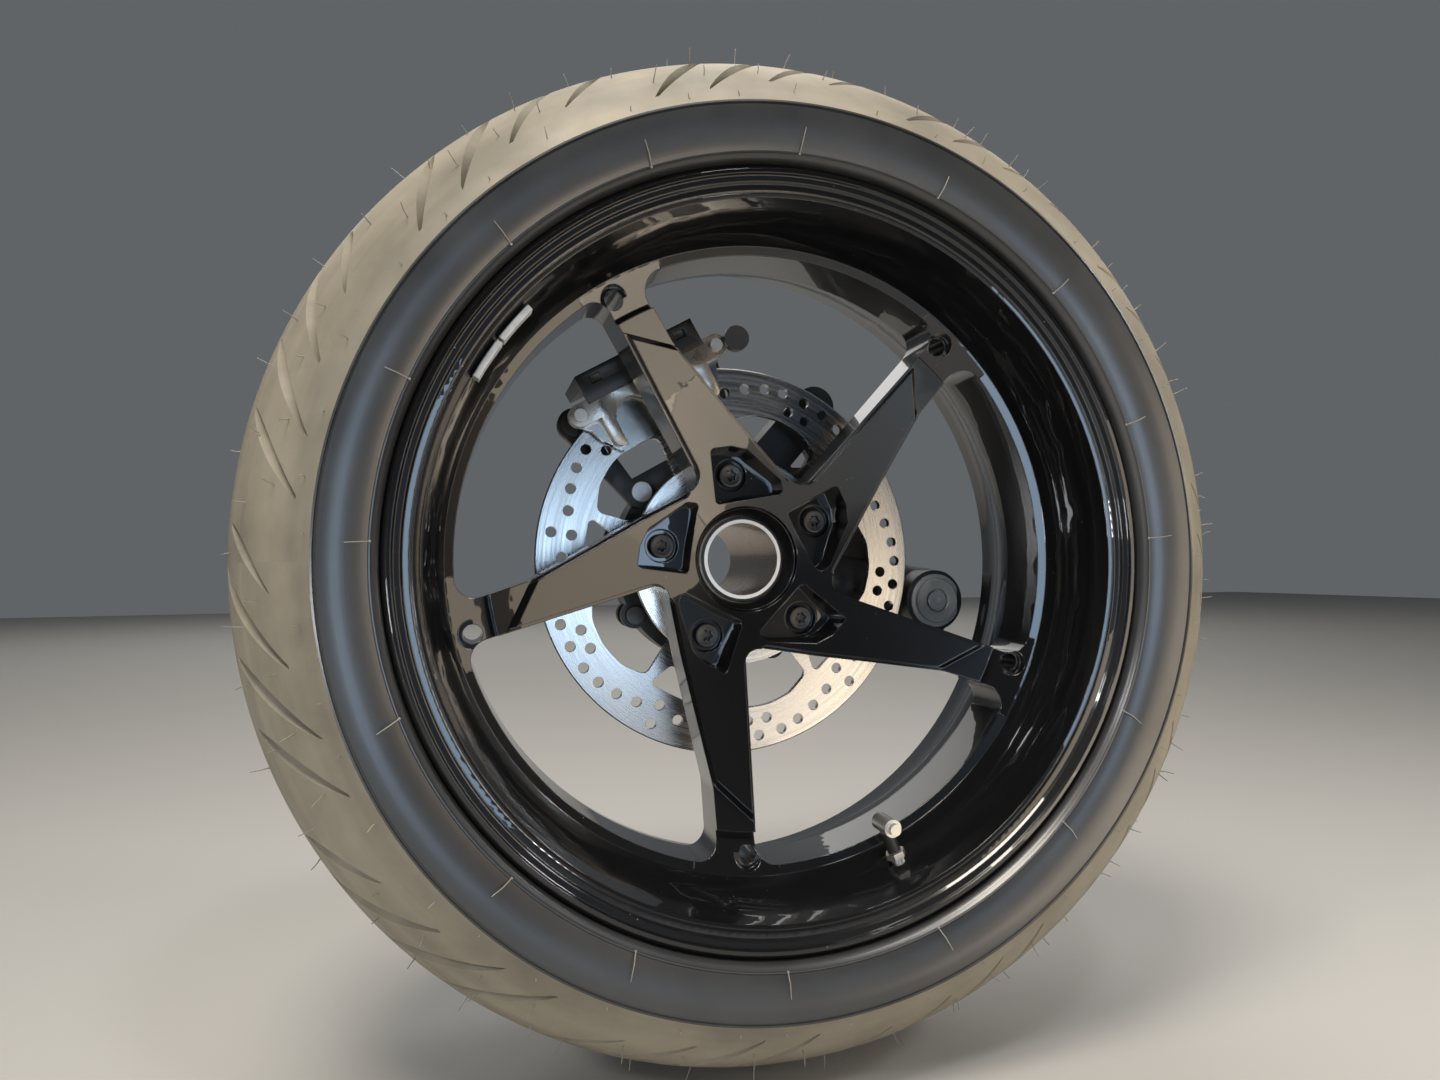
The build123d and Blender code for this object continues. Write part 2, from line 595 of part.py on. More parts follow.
# Brake disc: a drilled band on arms, with large and small cut-outs in turn
with BuildPart() as brake_disc:
    with BuildSketch(wheel_plane(DISC_FAR_Y)):
        Circle(DISC_RADIUS)
        Circle(DISC_RING_RADIUS, mode=Mode.SUBTRACT)
        for sector in range(SPOKES):
            arm = DISC_ARM_ANGLE + PITCH * sector
            with BuildLine():
                FilletPolyline(
                    polar(DISC_ARM_ROOT_RADIUS, arm - 4.0),
                    polar(DISC_BAND_RADIUS - 6.0, arm - 2.0),
                    polar(DISC_BAND_RADIUS, arm - 12.0),
                    polar(DISC_BAND_RADIUS + 1.6, arm - 22.0),
                    polar(DISC_BAND_RADIUS, arm - 32.0),
                    polar(DISC_BAND_RADIUS - 6.0, arm - 42.0),
                    polar(DISC_ARM_ROOT_RADIUS, arm - 38.0),
                    polar(DISC_ARM_ROOT_RADIUS + 1.0, arm - 20.0),
                    radius=(5.0, 6.0, 20.0, 40.0, 20.0, 6.0, 5.0, 20.0),
                    close=True,
                )
            make_face(mode=Mode.SUBTRACT)
            with BuildLine():
                FilletPolyline(
                    polar(89.0, arm + 5.0),
                    polar(DISC_BAND_RADIUS - 2.0, arm + 0.5),
                    polar(DISC_BAND_RADIUS - 3.0, arm + 10.0),
                    polar(DISC_BAND_RADIUS, arm + 22.0),
                    polar(90.0, arm + 17.0),
                    radius=(3.0, 3.5, 12.0, 4.0, 3.0),
                    close=True,
                )
            make_face(mode=Mode.SUBTRACT)
            for ahead, radius in DISC_HOLES:
                with Locations(polar(radius, DISC_HOLE_ANGLE + ahead + PITCH * sector)):
                    Circle(DISC_HOLE_RADIUS, mode=Mode.SUBTRACT)
            with Locations(polar(DISC_BOLT_CIRCLE_RADIUS, arm + PITCH / 4)):
                Circle(DISC_BOLT_RADIUS / 2, mode=Mode.SUBTRACT)
    extrude(amount=DISC_THICKNESS)
    rims = brake_disc.edges().filter_by(GeomType.CIRCLE)
    chamfer(rims.filter_by(lambda edge: abs(edge.radius - DISC_RADIUS) < 0.01), 0.8)
brake_disc.part.label = "brake_disc"
export_step(brake_disc.part, "parts/brake_disc.step")

# Disc bolts, with their heads on the drive side
with BuildPart() as disc_bolts:
    with BuildSketch(wheel_plane(DISC_FAR_Y, DISC_ARM_ANGLE + PITCH / 4)):
        with PolarLocations(DISC_BOLT_CIRCLE_RADIUS, SPOKES):
            Circle(DISC_BOLT_RADIUS)
    extrude(amount=-DISC_BOLT_HEIGHT)
    with BuildSketch(wheel_plane(DISC_FAR_Y, DISC_ARM_ANGLE + PITCH / 4)):
        with PolarLocations(DISC_BOLT_CIRCLE_RADIUS, SPOKES):
            Circle(DISC_BOLT_RADIUS / 2 - 0.1)
    extrude(amount=DISC_THICKNESS)
disc_bolts.part.label = "disc_bolts"
export_step(disc_bolts.part, "parts/disc_bolts.step")

# Drive housing: case, neck, pivots and strut arm in one casting
neck_plane = Plane(
    origin=(WHEEL[0], WHEEL[1] + NECK_Y, WHEEL[2]),
    x_dir=(0, 1, 0),
    z_dir=(cos(radians(PIVOT_ANGLE)), 0, sin(radians(PIVOT_ANGLE))),
)
with BuildPart() as drive_housing:
    with BuildSketch(section_plane()):
        Polygon(
            (HOUSING_BORE_RADIUS, HOUSING_BOSS_Y),
            (HOUSING_BOSS_RADIUS, HOUSING_BOSS_Y),
            (HOUSING_BOSS_RADIUS, HOUSING_NEAR_Y - 6.0),
            (HOUSING_BOSS_RADIUS + 14.0, HOUSING_NEAR_Y),
            (HOUSING_RADIUS, HOUSING_NEAR_Y),
            (HOUSING_RADIUS, HOUSING_SPLIT_Y),
            (HOUSING_BORE_RADIUS, HOUSING_SPLIT_Y),
            align=None,
        )
    revolve(axis=AXLE)
    for y in (HOUSING_NEAR_Y + HOUSING_FLANGE_THICKNESS, HOUSING_SPLIT_Y):
        with BuildSketch(wheel_plane(y)):
            with Locations(*[polar(HOUSING_BOLT_CIRCLE_RADIUS, angle) for angle in HOUSING_BOLT_ANGLES]):
                Circle(HOUSING_LOBE_RADIUS)
        extrude(amount=HOUSING_FLANGE_THICKNESS)
    with BuildSketch(neck_plane.offset(HOUSING_RADIUS - 20.0)):
        Circle(NECK_RADIUS)
    extrude(amount=PIVOT_RADIUS + NECK_PAST_PIVOT - HOUSING_RADIUS + 20.0)
    with BuildSketch(wheel_plane(PIVOT_FACE_Y)):
        with Locations((PIVOT_AHEAD, -PIVOT_BELOW)):
            Circle(PIVOT_BOSS_RADIUS)
    extrude(amount=PIVOT_FACE_Y - PIVOT_NEAR_Y)

    # Strut arm and the web between it and the neck
    strut_turn = degrees(atan2(STRUT_Z - STRUT_ROOT_Z, STRUT_X - STRUT_ROOT_X))
    with BuildSketch(wheel_plane(STRUT_FAR_Y)):
        with Locations(((STRUT_X + STRUT_ROOT_X) / 2, (STRUT_Z + STRUT_ROOT_Z) / 2)):
            SlotCenterToCenter(
                hypot(STRUT_X - STRUT_ROOT_X, STRUT_Z - STRUT_ROOT_Z),
                2 * STRUT_ARM_HALF_WIDTH,
                rotation=strut_turn,
            )
    extrude(amount=STRUT_THICKNESS)
    with BuildSketch(wheel_plane(STRUT_Y + WEB_THICKNESS / 2)):
        Polygon(
            (STRUT_ROOT_X, STRUT_ROOT_Z),
            (STRUT_X, STRUT_Z),
            (STRUT_X + STRUT_ARM_HALF_WIDTH, STRUT_Z - STRUT_ARM_HALF_WIDTH),
            (PIVOT_AHEAD - PIVOT_BOSS_RADIUS, 0.0),
            (HOUSING_RADIUS - 20.0, 0.0),
            align=None,
        )
        with Locations((WEB_WINDOW_X, WEB_WINDOW_Z)):
            RegularPolygon(WEB_WINDOW_RADIUS, 6, mode=Mode.SUBTRACT)
    extrude(amount=WEB_THICKNESS)

    # Room for the strut's end, the shaft, the cover and the drive shaft's joint
    with BuildSketch(wheel_plane(STRUT_Y + STRUT_SLOT / 2)):
        with Locations((STRUT_X, STRUT_Z)):
            Circle(STRUT_ARM_HALF_WIDTH + 6.0)
    extrude(amount=STRUT_SLOT, mode=Mode.SUBTRACT)
    with BuildSketch(wheel_plane(STRUT_FAR_Y + 1.0)):
        with Locations((STRUT_X, STRUT_Z)):
            Circle(STRUT_BORE_RADIUS)
    extrude(amount=STRUT_THICKNESS + 2.0, mode=Mode.SUBTRACT)
    with BuildSketch(wheel_plane(HOUSING_FAR_Y)):
        Circle(HOUSING_RADIUS + 1.0)
    extrude(amount=HOUSING_FAR_Y - HOUSING_SPLIT_Y, mode=Mode.SUBTRACT)
    with BuildSketch(wheel_plane(HOUSING_FAR_Y)):
        Circle(HOUSING_BORE_RADIUS)
    extrude(amount=HOUSING_FAR_Y, mode=Mode.SUBTRACT)
    with BuildSketch(neck_plane.offset(PIVOT_RADIUS + NECK_PAST_PIVOT)):
        Circle(NECK_BORE_RADIUS)
    extrude(amount=-NECK_BORE_DEPTH, mode=Mode.SUBTRACT)
    with BuildSketch(wheel_plane(PIVOT_FACE_Y)):
        with Locations((PIVOT_AHEAD, -PIVOT_BELOW)):
            Circle(PIVOT_BORE_RADIUS)
    extrude(amount=PIVOT_FACE_Y - NECK_Y, mode=Mode.SUBTRACT)
    with BuildSketch(wheel_plane(NECK_Y)):
        with Locations((PIVOT_AHEAD, -PIVOT_BELOW)):
            Circle(PIVOT_BOLT_RADIUS + PIVOT_BOLT_CLEARANCE)
    extrude(amount=NECK_Y, mode=Mode.SUBTRACT)
drive_housing.part.label = "drive_housing"
export_step(drive_housing.part, "parts/drive_housing.step")

# Housing cover on the drive side
with BuildPart() as housing_cover:
    with BuildSketch(section_plane()):
        Polygon(
            (HOUSING_BORE_RADIUS, HOUSING_SPLIT_Y),
            (HOUSING_RADIUS, HOUSING_SPLIT_Y),
            (HOUSING_RADIUS, HOUSING_SPLIT_Y + HOUSING_FLANGE_THICKNESS),
            (COVER_DOME_RADIUS + 4.0, HOUSING_SPLIT_Y + HOUSING_FLANGE_THICKNESS + 3.0),
            (COVER_DOME_RADIUS - 6.0, HOUSING_FAR_Y - 4.0),
            (HOUSING_BOSS_RADIUS, HOUSING_FAR_Y),
            (HOUSING_BORE_RADIUS, HOUSING_FAR_Y),
            align=None,
        )
    revolve(axis=AXLE)
    with BuildSketch(wheel_plane(HOUSING_FAR_Y)):
        with Locations(*[polar(PLUG_CIRCLE_RADIUS, angle) for angle in PLUG_ANGLES.values()]):
            Circle(PLUG_BOSS_RADIUS)
    extrude(amount=PLUG_BOSS_HEIGHT)
housing_cover.part.label = "housing_cover"
export_step(housing_cover.part, "parts/housing_cover.step")

# Housing bolts, with their heads on the near side
with BuildPart() as housing_bolts:
    with BuildSketch(wheel_plane(HOUSING_NEAR_Y)):
        with Locations(*[polar(HOUSING_BOLT_CIRCLE_RADIUS, angle) for angle in HOUSING_BOLT_ANGLES]):
            Circle(HOUSING_BOLT_RADIUS)
    extrude(amount=HOUSING_BOLT_HEIGHT)
housing_bolts.part.label = "housing_bolts"
export_step(housing_bolts.part, "parts/housing_bolts.step")

# Filler and drain plugs in the cover
for name, angle in PLUG_ANGLES.items():
    with BuildPart() as plug:
        with BuildSketch(wheel_plane(HOUSING_FAR_Y)):
            with Locations(polar(PLUG_CIRCLE_RADIUS, angle)):
                Circle(PLUG_RADIUS)
        extrude(amount=-PLUG_HEIGHT)
    plug.part.label = name
    export_step(plug.part, f"parts/{name}.step")

# Pivot bolt with its cap and flatted washer
with BuildPart() as pivot_washer:
    with BuildSketch(wheel_plane(PIVOT_NEAR_Y)):
        with Locations((PIVOT_AHEAD, -PIVOT_BELOW)):
            Circle(PIVOT_WASHER_RADIUS)
            Circle(PIVOT_BOLT_RADIUS + PIVOT_BOLT_CLEARANCE, mode=Mode.SUBTRACT)
        with Locations((PIVOT_AHEAD + PIVOT_WASHER_FLAT + PIVOT_WASHER_RADIUS, -PIVOT_BELOW)):
            Rectangle(2 * PIVOT_WASHER_RADIUS, 2 * PIVOT_WASHER_RADIUS, mode=Mode.SUBTRACT)
    extrude(amount=PIVOT_WASHER_THICKNESS)
pivot_washer.part.label = "pivot_washer"
export_step(pivot_washer.part, "parts/pivot_washer.step")

with BuildPart() as pivot_cap:
    with BuildSketch(wheel_plane(PIVOT_NEAR_Y - PIVOT_WASHER_THICKNESS)):
        with Locations((PIVOT_AHEAD, -PIVOT_BELOW)):
            Circle(PIVOT_CAP_RADIUS)
            Circle(PIVOT_CAP_BORE_RADIUS, mode=Mode.SUBTRACT)
    extrude(amount=PIVOT_CAP_HEIGHT)
    chamfer(pivot_cap.faces().sort_by(Axis.Y)[0].edges(), 0.8)
pivot_cap.part.label = "pivot_cap"
export_step(pivot_cap.part, "parts/pivot_cap.step")

pivot_bolt_end_y = NECK_Y - NECK_BORE_RADIUS - PIVOT_BOLT_END_GAP
pivot_bolt_face_y = PIVOT_NEAR_Y - PIVOT_WASHER_THICKNESS - PIVOT_CAP_HEIGHT + PIVOT_BOLT_SUNK
with BuildPart() as pivot_bolt:
    with BuildSketch(wheel_plane(pivot_bolt_end_y)):
        with Locations((PIVOT_AHEAD, -PIVOT_BELOW)):
            Circle(PIVOT_BOLT_RADIUS)
    extrude(amount=pivot_bolt_end_y - pivot_bolt_face_y)
    with BuildSketch(wheel_plane(pivot_bolt_face_y)):
        with Locations((PIVOT_AHEAD, -PIVOT_BELOW)):
            RegularPolygon(BOLT_SOCKET_RADIUS, 6)
    extrude(amount=-1.5, mode=Mode.SUBTRACT)
pivot_bolt.part.label = "pivot_bolt"
export_step(pivot_bolt.part, "parts/pivot_bolt.step")

# Bracket: a bar across the housing with two arms out to the slide pins
with BuildPart() as caliper_bracket:
    with BuildSketch(caliper_plane(HOUSING_NEAR_Y)) as bracket_outline:
        with BuildLine():
            Polyline(
                (BRACKET_BOLT_OUT - BRACKET_END_RADIUS, -BRACKET_BOLT_ACROSS),
                (BRACKET_BOLT_OUT - BRACKET_END_RADIUS, BRACKET_BOLT_ACROSS),
                (BRACKET_BOLT_OUT + BRACKET_END_RADIUS, BRACKET_BOLT_ACROSS),
                (BRACKET_BOLT_OUT + BRACKET_END_RADIUS, -BRACKET_BOLT_ACROSS),
                close=True,
            )
        make_face()
        for side in (-1.0, 1.0):
            with Locations((BRACKET_BOLT_OUT, side * BRACKET_BOLT_ACROSS)):
                Circle(BRACKET_END_RADIUS)
            with Locations((SLIDE_OUT, side * SLIDE_ACROSS)):
                Circle(BRACKET_END_RADIUS)
            with BuildLine():
                Polyline(
                    (BRACKET_BOLT_OUT - 4.0, side * (BRACKET_BOLT_ACROSS + BRACKET_END_RADIUS - 1.0)),
                    (SLIDE_OUT - 3.0, side * (SLIDE_ACROSS + BRACKET_END_RADIUS - 1.0)),
                    (SLIDE_OUT, side * (SLIDE_ACROSS - BRACKET_END_RADIUS + 1.0)),
                    (BRACKET_BOLT_OUT + BRACKET_END_RADIUS, side * (BRACKET_BOLT_ACROSS + 1.0)),
                    (BRACKET_BOLT_OUT, side * BRACKET_BOLT_ACROSS),
                    close=True,
                )
            make_face()
        Circle(HOUSING_BOSS_RADIUS + 1.0, mode=Mode.SUBTRACT)
    extrude(amount=BRACKET_THICKNESS)
caliper_bracket.part.label = "caliper_bracket"
export_step(caliper_bracket.part, "parts/caliper_bracket.step")

with BuildPart() as bracket_bolts:
    with BuildSketch(caliper_plane(BRACKET_NEAR_Y)):
        with Locations(*[(BRACKET_BOLT_OUT, side * BRACKET_BOLT_ACROSS) for side in (-1.0, 1.0)]):
            Circle(BRACKET_BOLT_RADIUS)
    extrude(amount=BRACKET_BOLT_HEIGHT)
bracket_bolts.part.label = "bracket_bolts"
export_step(bracket_bolts.part, "parts/bracket_bolts.step")

# Caliper: near fingers, bridge over the disc, and the cylinders on the far side
pad_near_y = DISC_Y - PAD_GAP - PAD_LINING - PAD_PLATE
pad_far_y = DISC_FAR_Y + PAD_GAP + PAD_LINING + PAD_PLATE
with BuildPart() as caliper_body:
    with BuildSketch(caliper_plane(pad_near_y - 0.2)):
        with Locations(((CALIPER_INNER + CALIPER_BRIDGE_OUTER) / 2, 0.0)):
            RectangleRounded(
                CALIPER_BRIDGE_OUTER - CALIPER_INNER, 2 * CALIPER_HALF_LENGTH, CALIPER_CORNER
            )
        for side in (-1.0, 1.0):
            with Locations((SLIDE_OUT, side * SLIDE_ACROSS)):
                Circle(EAR_RADIUS)
            with Locations((SLIDE_OUT, side * (SLIDE_ACROSS + CALIPER_HALF_LENGTH) / 2)):
                Rectangle(2 * EAR_RADIUS, SLIDE_ACROSS - CALIPER_HALF_LENGTH + 4.0)
            with Locations((FINGER_OUT, side * FINGER_PITCH)):
                Circle(FINGER_RADIUS, mode=Mode.SUBTRACT)
            with Locations((CALIPER_INNER, side * FINGER_PITCH)):
                Rectangle(2 * (FINGER_OUT - CALIPER_INNER), 2 * FINGER_RADIUS, mode=Mode.SUBTRACT)
    extrude(amount=pad_near_y - 0.2 - CALIPER_NEAR_Y)
    with BuildSketch(caliper_plane(CALIPER_FAR_Y - 4.0)):
        with Locations(((CALIPER_BRIDGE_INNER + CALIPER_BRIDGE_OUTER) / 2, 0.0)):
            Rectangle(CALIPER_BRIDGE_OUTER - CALIPER_BRIDGE_INNER, 2 * CYLINDER_HALF_LENGTH)
    extrude(amount=CALIPER_FAR_Y - 4.0 - pad_near_y + 1.0)
    with BuildSketch(caliper_plane(CALIPER_FAR_Y)):
        with Locations(((CALIPER_INNER + CALIPER_BRIDGE_OUTER) / 2, 0.0)):
            RectangleRounded(
                CALIPER_BRIDGE_OUTER - CALIPER_INNER, 2 * CYLINDER_HALF_LENGTH, CALIPER_CORNER
            )
    extrude(amount=CALIPER_FAR_Y - pad_far_y - 0.2)
caliper_body.part.label = "caliper_body"
export_step(caliper_body.part, "parts/caliper_body.step")

# Cover over the caliper's bridge
with BuildPart() as caliper_cover:
    with BuildSketch(caliper_plane(CALIPER_FAR_Y)):
        with Locations(((CALIPER_BRIDGE_OUTER + COVER_INSET + COVER_OUTER) / 2, 0.0)):
            Rectangle(COVER_OUTER - CALIPER_BRIDGE_OUTER - COVER_INSET, 2 * COVER_HALF_LENGTH)
    extrude(amount=CALIPER_FAR_Y - CALIPER_NEAR_Y + 3.0)
    with BuildSketch(caliper_plane(CALIPER_NEAR_Y - 0.3)):
        with Locations(((CALIPER_OUTER + COVER_OUTER) / 2, 0.0)):
            Rectangle(COVER_OUTER - CALIPER_OUTER, 2 * COVER_HALF_LENGTH)
    extrude(amount=2.7)
    with BuildSketch(caliper_plane(CALIPER_NEAR_Y - 3.0)):
        for side in (-1.0, 1.0):
            with Locations((160.0, side * 34.0)):
                Rectangle(5.5, 8.0)
    extrude(amount=-1.5, mode=Mode.SUBTRACT)
caliper_cover.part.label = "caliper_cover"
export_step(caliper_cover.part, "parts/caliper_cover.step")

# Brake pads, each a steel plate with its lining; the near plate has ears
with BuildPart() as brake_pads:
    with BuildSketch(caliper_plane(pad_near_y + PAD_PLATE)):
        ears = [(out, -across) for out, across in reversed(PAD_EAR)]
        Polygon(*PAD_EAR, *ears, align=None)
    extrude(amount=PAD_PLATE)
    with BuildSketch(caliper_plane(pad_far_y)):
        with Locations(((PAD_INNER + PAD_OUTER) / 2, 0.0)):
            RectangleRounded(PAD_OUTER - PAD_INNER, 2 * PAD_HALF_LENGTH, CALIPER_CORNER)
    extrude(amount=PAD_PLATE)
    for y in (DISC_Y - PAD_GAP, DISC_FAR_Y + PAD_GAP + PAD_LINING):
        with BuildSketch(caliper_plane(y)):
            with Locations((124.0, 0.0)):
                RectangleRounded(30.0, 2 * CYLINDER_HALF_LENGTH, 3.0)
        extrude(amount=PAD_LINING)
brake_pads.part.label = "brake_pads"
export_step(brake_pads.part, "parts/brake_pads.step")

# Slide pins from the caliper's ears back to the bracket, and their rubber boots
with BuildPart() as slide_pins:
    for side in (-1.0, 1.0):
        with BuildSketch(caliper_plane(BRACKET_NEAR_Y)):
            with Locations((SLIDE_OUT, side * SLIDE_ACROSS)):
                Circle(SLIDE_RADIUS)
        extrude(amount=BRACKET_NEAR_Y - pad_near_y + 0.2)
        with BuildSketch(caliper_plane(CALIPER_NEAR_Y)):
            with Locations((SLIDE_OUT, side * SLIDE_ACROSS)):
                Circle(SLIDE_HEAD_RADIUS)
        extrude(amount=2.0)
slide_pins.part.label = "slide_pins"
export_step(slide_pins.part, "parts/slide_pins.step")

with BuildPart() as slide_boots:
    for side in (-1.0, 1.0):
        with BuildSketch(caliper_plane(BRACKET_NEAR_Y)):
            with Locations((SLIDE_OUT, side * SLIDE_ACROSS)):
                Circle(BOOT_RADIUS)
                Circle(SLIDE_RADIUS, mode=Mode.SUBTRACT)
        extrude(amount=BOOT_LENGTH)
slide_boots.part.label = "slide_boots"
export_step(slide_boots.part, "parts/slide_boots.step")

# Bleed screw in the far side of the caliper
with BuildPart() as bleed_screw:
    with BuildSketch(caliper_plane(CALIPER_FAR_Y)):
        with Locations((134.0, CYLINDER_HALF_LENGTH - 8.0)):
            Circle(BLEED_RADIUS)
    extrude(amount=-BLEED_LENGTH)
bleed_screw.part.label = "bleed_screw"
export_step(bleed_screw.part, "parts/bleed_screw.step")

# Hose union on the caliper's forward end, with the stub that the hose enters
union_middle = (UNION_OUT, UNION_ACROSS)
with BuildPart() as hose_union:
    with BuildSketch(caliper_plane(CALIPER_NEAR_Y)):
        with Locations(union_middle):
            Circle(UNION_RADIUS)
    extrude(amount=CALIPER_NEAR_Y - UNION_NEAR_Y)
hose_union.part.label = "hose_union"
export_step(hose_union.part, "parts/hose_union.step")
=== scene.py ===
import json
import math
import random

import bmesh
import bpy
from mathutils import Matrix, Vector, geometry


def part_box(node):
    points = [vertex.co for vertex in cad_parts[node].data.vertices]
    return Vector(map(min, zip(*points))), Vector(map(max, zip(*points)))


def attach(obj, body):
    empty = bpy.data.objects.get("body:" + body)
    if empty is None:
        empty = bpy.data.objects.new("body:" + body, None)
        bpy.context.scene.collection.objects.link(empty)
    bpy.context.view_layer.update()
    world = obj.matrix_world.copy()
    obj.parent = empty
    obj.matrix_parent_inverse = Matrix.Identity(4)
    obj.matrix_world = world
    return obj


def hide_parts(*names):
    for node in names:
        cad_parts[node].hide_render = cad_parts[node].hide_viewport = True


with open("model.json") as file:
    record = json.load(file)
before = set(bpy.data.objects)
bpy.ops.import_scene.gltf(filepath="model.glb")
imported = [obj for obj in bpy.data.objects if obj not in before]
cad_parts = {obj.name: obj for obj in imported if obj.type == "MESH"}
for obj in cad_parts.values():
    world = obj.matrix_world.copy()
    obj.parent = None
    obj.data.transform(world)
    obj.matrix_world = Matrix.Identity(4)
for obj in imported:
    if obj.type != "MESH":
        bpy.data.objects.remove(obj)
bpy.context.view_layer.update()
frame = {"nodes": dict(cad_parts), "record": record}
nodes = frame["nodes"]

# Lengths are in millimetres on the wheel's own frame: x forward, z up, y to the drive side.
# The wheel turns about a line along y. Places in the scene are in metres. Angles are in degrees,
# except where said.
MM = 0.001
axle_low, axle_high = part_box("hollow_axle")
tyre_low, tyre_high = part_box("tyre")
AXLE_X = (axle_low.x + axle_high.x) / 2
AXLE_Z = (axle_low.z + axle_high.z) / 2
WHEEL_Y = (tyre_low.y + tyre_high.y) / 2
TYRE_RADIUS = (tyre_high.z - tyre_low.z) / 2 / MM
TYRE_HALF_WIDTH = (tyre_high.y - tyre_low.y) / 2 / MM

# Tyre
SHOULDER_RADIUS = 264.0
CROWN_HEIGHT = TYRE_RADIUS - SHOULDER_RADIUS
CROWN_RADIUS = (TYRE_HALF_WIDTH**2 + CROWN_HEIGHT**2) / CROWN_HEIGHT / 2
CROWN_MIDDLE = TYRE_RADIUS - CROWN_RADIUS
EDGE_INSET = 0.4
CROWN_EDGE = math.degrees(math.asin((TYRE_HALF_WIDTH - EDGE_INSET) / CROWN_RADIUS))
# Tread: groups around the tyre, columns and rows of points in one, and how near a groove they come
GROUPS = 11
GROUP_ANGLE = 360.0 / GROUPS
COLUMNS = 24
ROWS = 18
GRID_CLEARANCE = 1.6
POINT_TOLERANCE = 1e-5
# Grooves: turn of a group per degree of lean, depth, width of the steep side, least width of the
# floor, share of the width where the floor ends, bow, skew of the widest place, and steps along it
SLANT = 0.29
GROOVE_DEPTH = 5.5
GROOVE_STEEP = 0.5
GROOVE_LEAST = 0.25
GROOVE_FLAT = 0.55
GROOVE_BOW = 4.4
GROOVE_SKEW = 0.9
GROOVE_STEPS = 22
# Where the floor starts and ends, as shares of the groove's length
GROOVE_FLOOR = (0.07, 0.90)
# One group's grooves: angle from the first, crown angles at the inner and outer end, half width
GROOVES = ((0.0, 20.0, 48.0, 4.6), (6.8, 9.0, 54.5, 5.4), (13.5, 19.0, 57.0, 5.2), (20.2, 22.0, 58.5, 4.8))
FIRST_GROOVE = 183.6
GROOVE_MIDDLE = 47.0
GROOVE_LEAD = 5.2
TREAD_START = FIRST_GROOVE - GROOVE_MIDDLE * SLANT - GROOVE_LEAD
# Inside of the tyre, under the crown
CASING = 10.0
LINER_RADIUS = CROWN_RADIUS - CASING
LINER_HALF_WIDTH = 84.0
LINER_ROWS = 12

# Moulding hairs on the tread: places of one group's as (turn, lean), then their sizes, and how far
# inside the tyre's own box they stay. One that passes it is shortened, or else left out.
TREAD_HAIRS = (
    (1.0, 42.0), (4.6, 57.0), (7.6, 44.0), (9.4, 26.0), (11.8, 59.0), (14.4, 46.0), (17.2, 12.0),
    (19.0, 58.0), (21.0, 47.0), (24.0, 33.0), (27.0, 58.5), (29.0, 20.0), (3.2, 30.0), (15.4, 33.0),
)
TREAD_HAIR_LENGTHS = (4.0, 10.0)
TREAD_HAIR_RADII = (0.40 * MM, 0.32 * MM, 0.26 * MM)
HAIR_ROOT = 0.3
HAIR_SIDES = 5
HAIR_MARGIN = 0.4
HAIR_SIDE_MARGIN = 0.1
HAIR_TRIES = 3
HAIR_SHORTER = 0.55
# Moulding hairs at the bead: foot and dot as (radius, y), then ranges of both for knee and tip
BEAD_HAIRS = 16
BEAD_FOOT = (236.6, 88.7)
BEAD_DOT = (236.9, 89.4)
BEAD_KNEE = ((241.0, 244.0), (92.6, 93.4))
BEAD_TIP = ((247.0, 251.0), (94.0, 94.7))
BEAD_HAIR_RADII = (0.38 * MM, 0.34 * MM, 0.28 * MM)
BEAD_DOT_RADII = (0.8 * MM, 0.55 * MM)
BEAD_DOT_SIDES = 8

# Rim: sizes of the cast spokes, then of the forms that are cut or lined here
SPOKES = 5
PITCH = 360.0 / SPOKES
SPOKE_ANGLE = 50.96
FACE_Y = 16.0
FACE_RADIUS = 60.0
FACE_SLOPE = -0.35
WEB_STEP = 5.0
BARREL_RADIUS = 196.5
WINDOW_LIP = 0.6
# One window as (along, across) the spoke's own ray, with the radius of each corner
CROTCH_RADIUS = 61.5
CROTCH = ((CROTCH_RADIUS, 0.0, 9.0), (CROTCH_RADIUS, 13.0, 3.0))
TRAILING = ((66.6, -47.0, 9.0), (95.0, -40.0, 12.0), (150.0, -27.0, 20.0))
TRAILING_REACH = (230.0, -23.0)
# How far across lies the point that the crotch's other side runs to
CROTCH_AIM = -30.0
BARREL_FILLET = 12.0
# Ledge beside each window: width, and height above the web
LEDGE = 2.4
LEDGE_RISE = 0.3
# Sloped seat at each spoke's outer end: radii, drop at the inner one, and degrees about the spoke
SEAT_RADII = (BARREL_RADIUS - 19.5, BARREL_RADIUS + 3.5)
SEAT_DROP = 5.0
SEAT_SECTOR = (-12.2, 4.3)
SEAT_STEPS = 12
# Cuts pass the metal by a margin, and end clear of the near side
CUT_MARGIN = 1.0
CLEAR_Y = -88.0
# Steps cut into both lips as (radius, y)
LIP_STEPS = ((216.6, 78.3), (217.8, 79.4), (221.2, 79.9), (222.4, 81.5), (225.8, 82.3), (227.0, 84.2))
LIP_CLEAR_Y = 88.0
# Steps around the axle, and along the arcs of outlines
LATHE_STEPS = 240
CORNER_STEPS = 7
RIM_ARC_STEPS = 26
FILLET_STEPS = 8
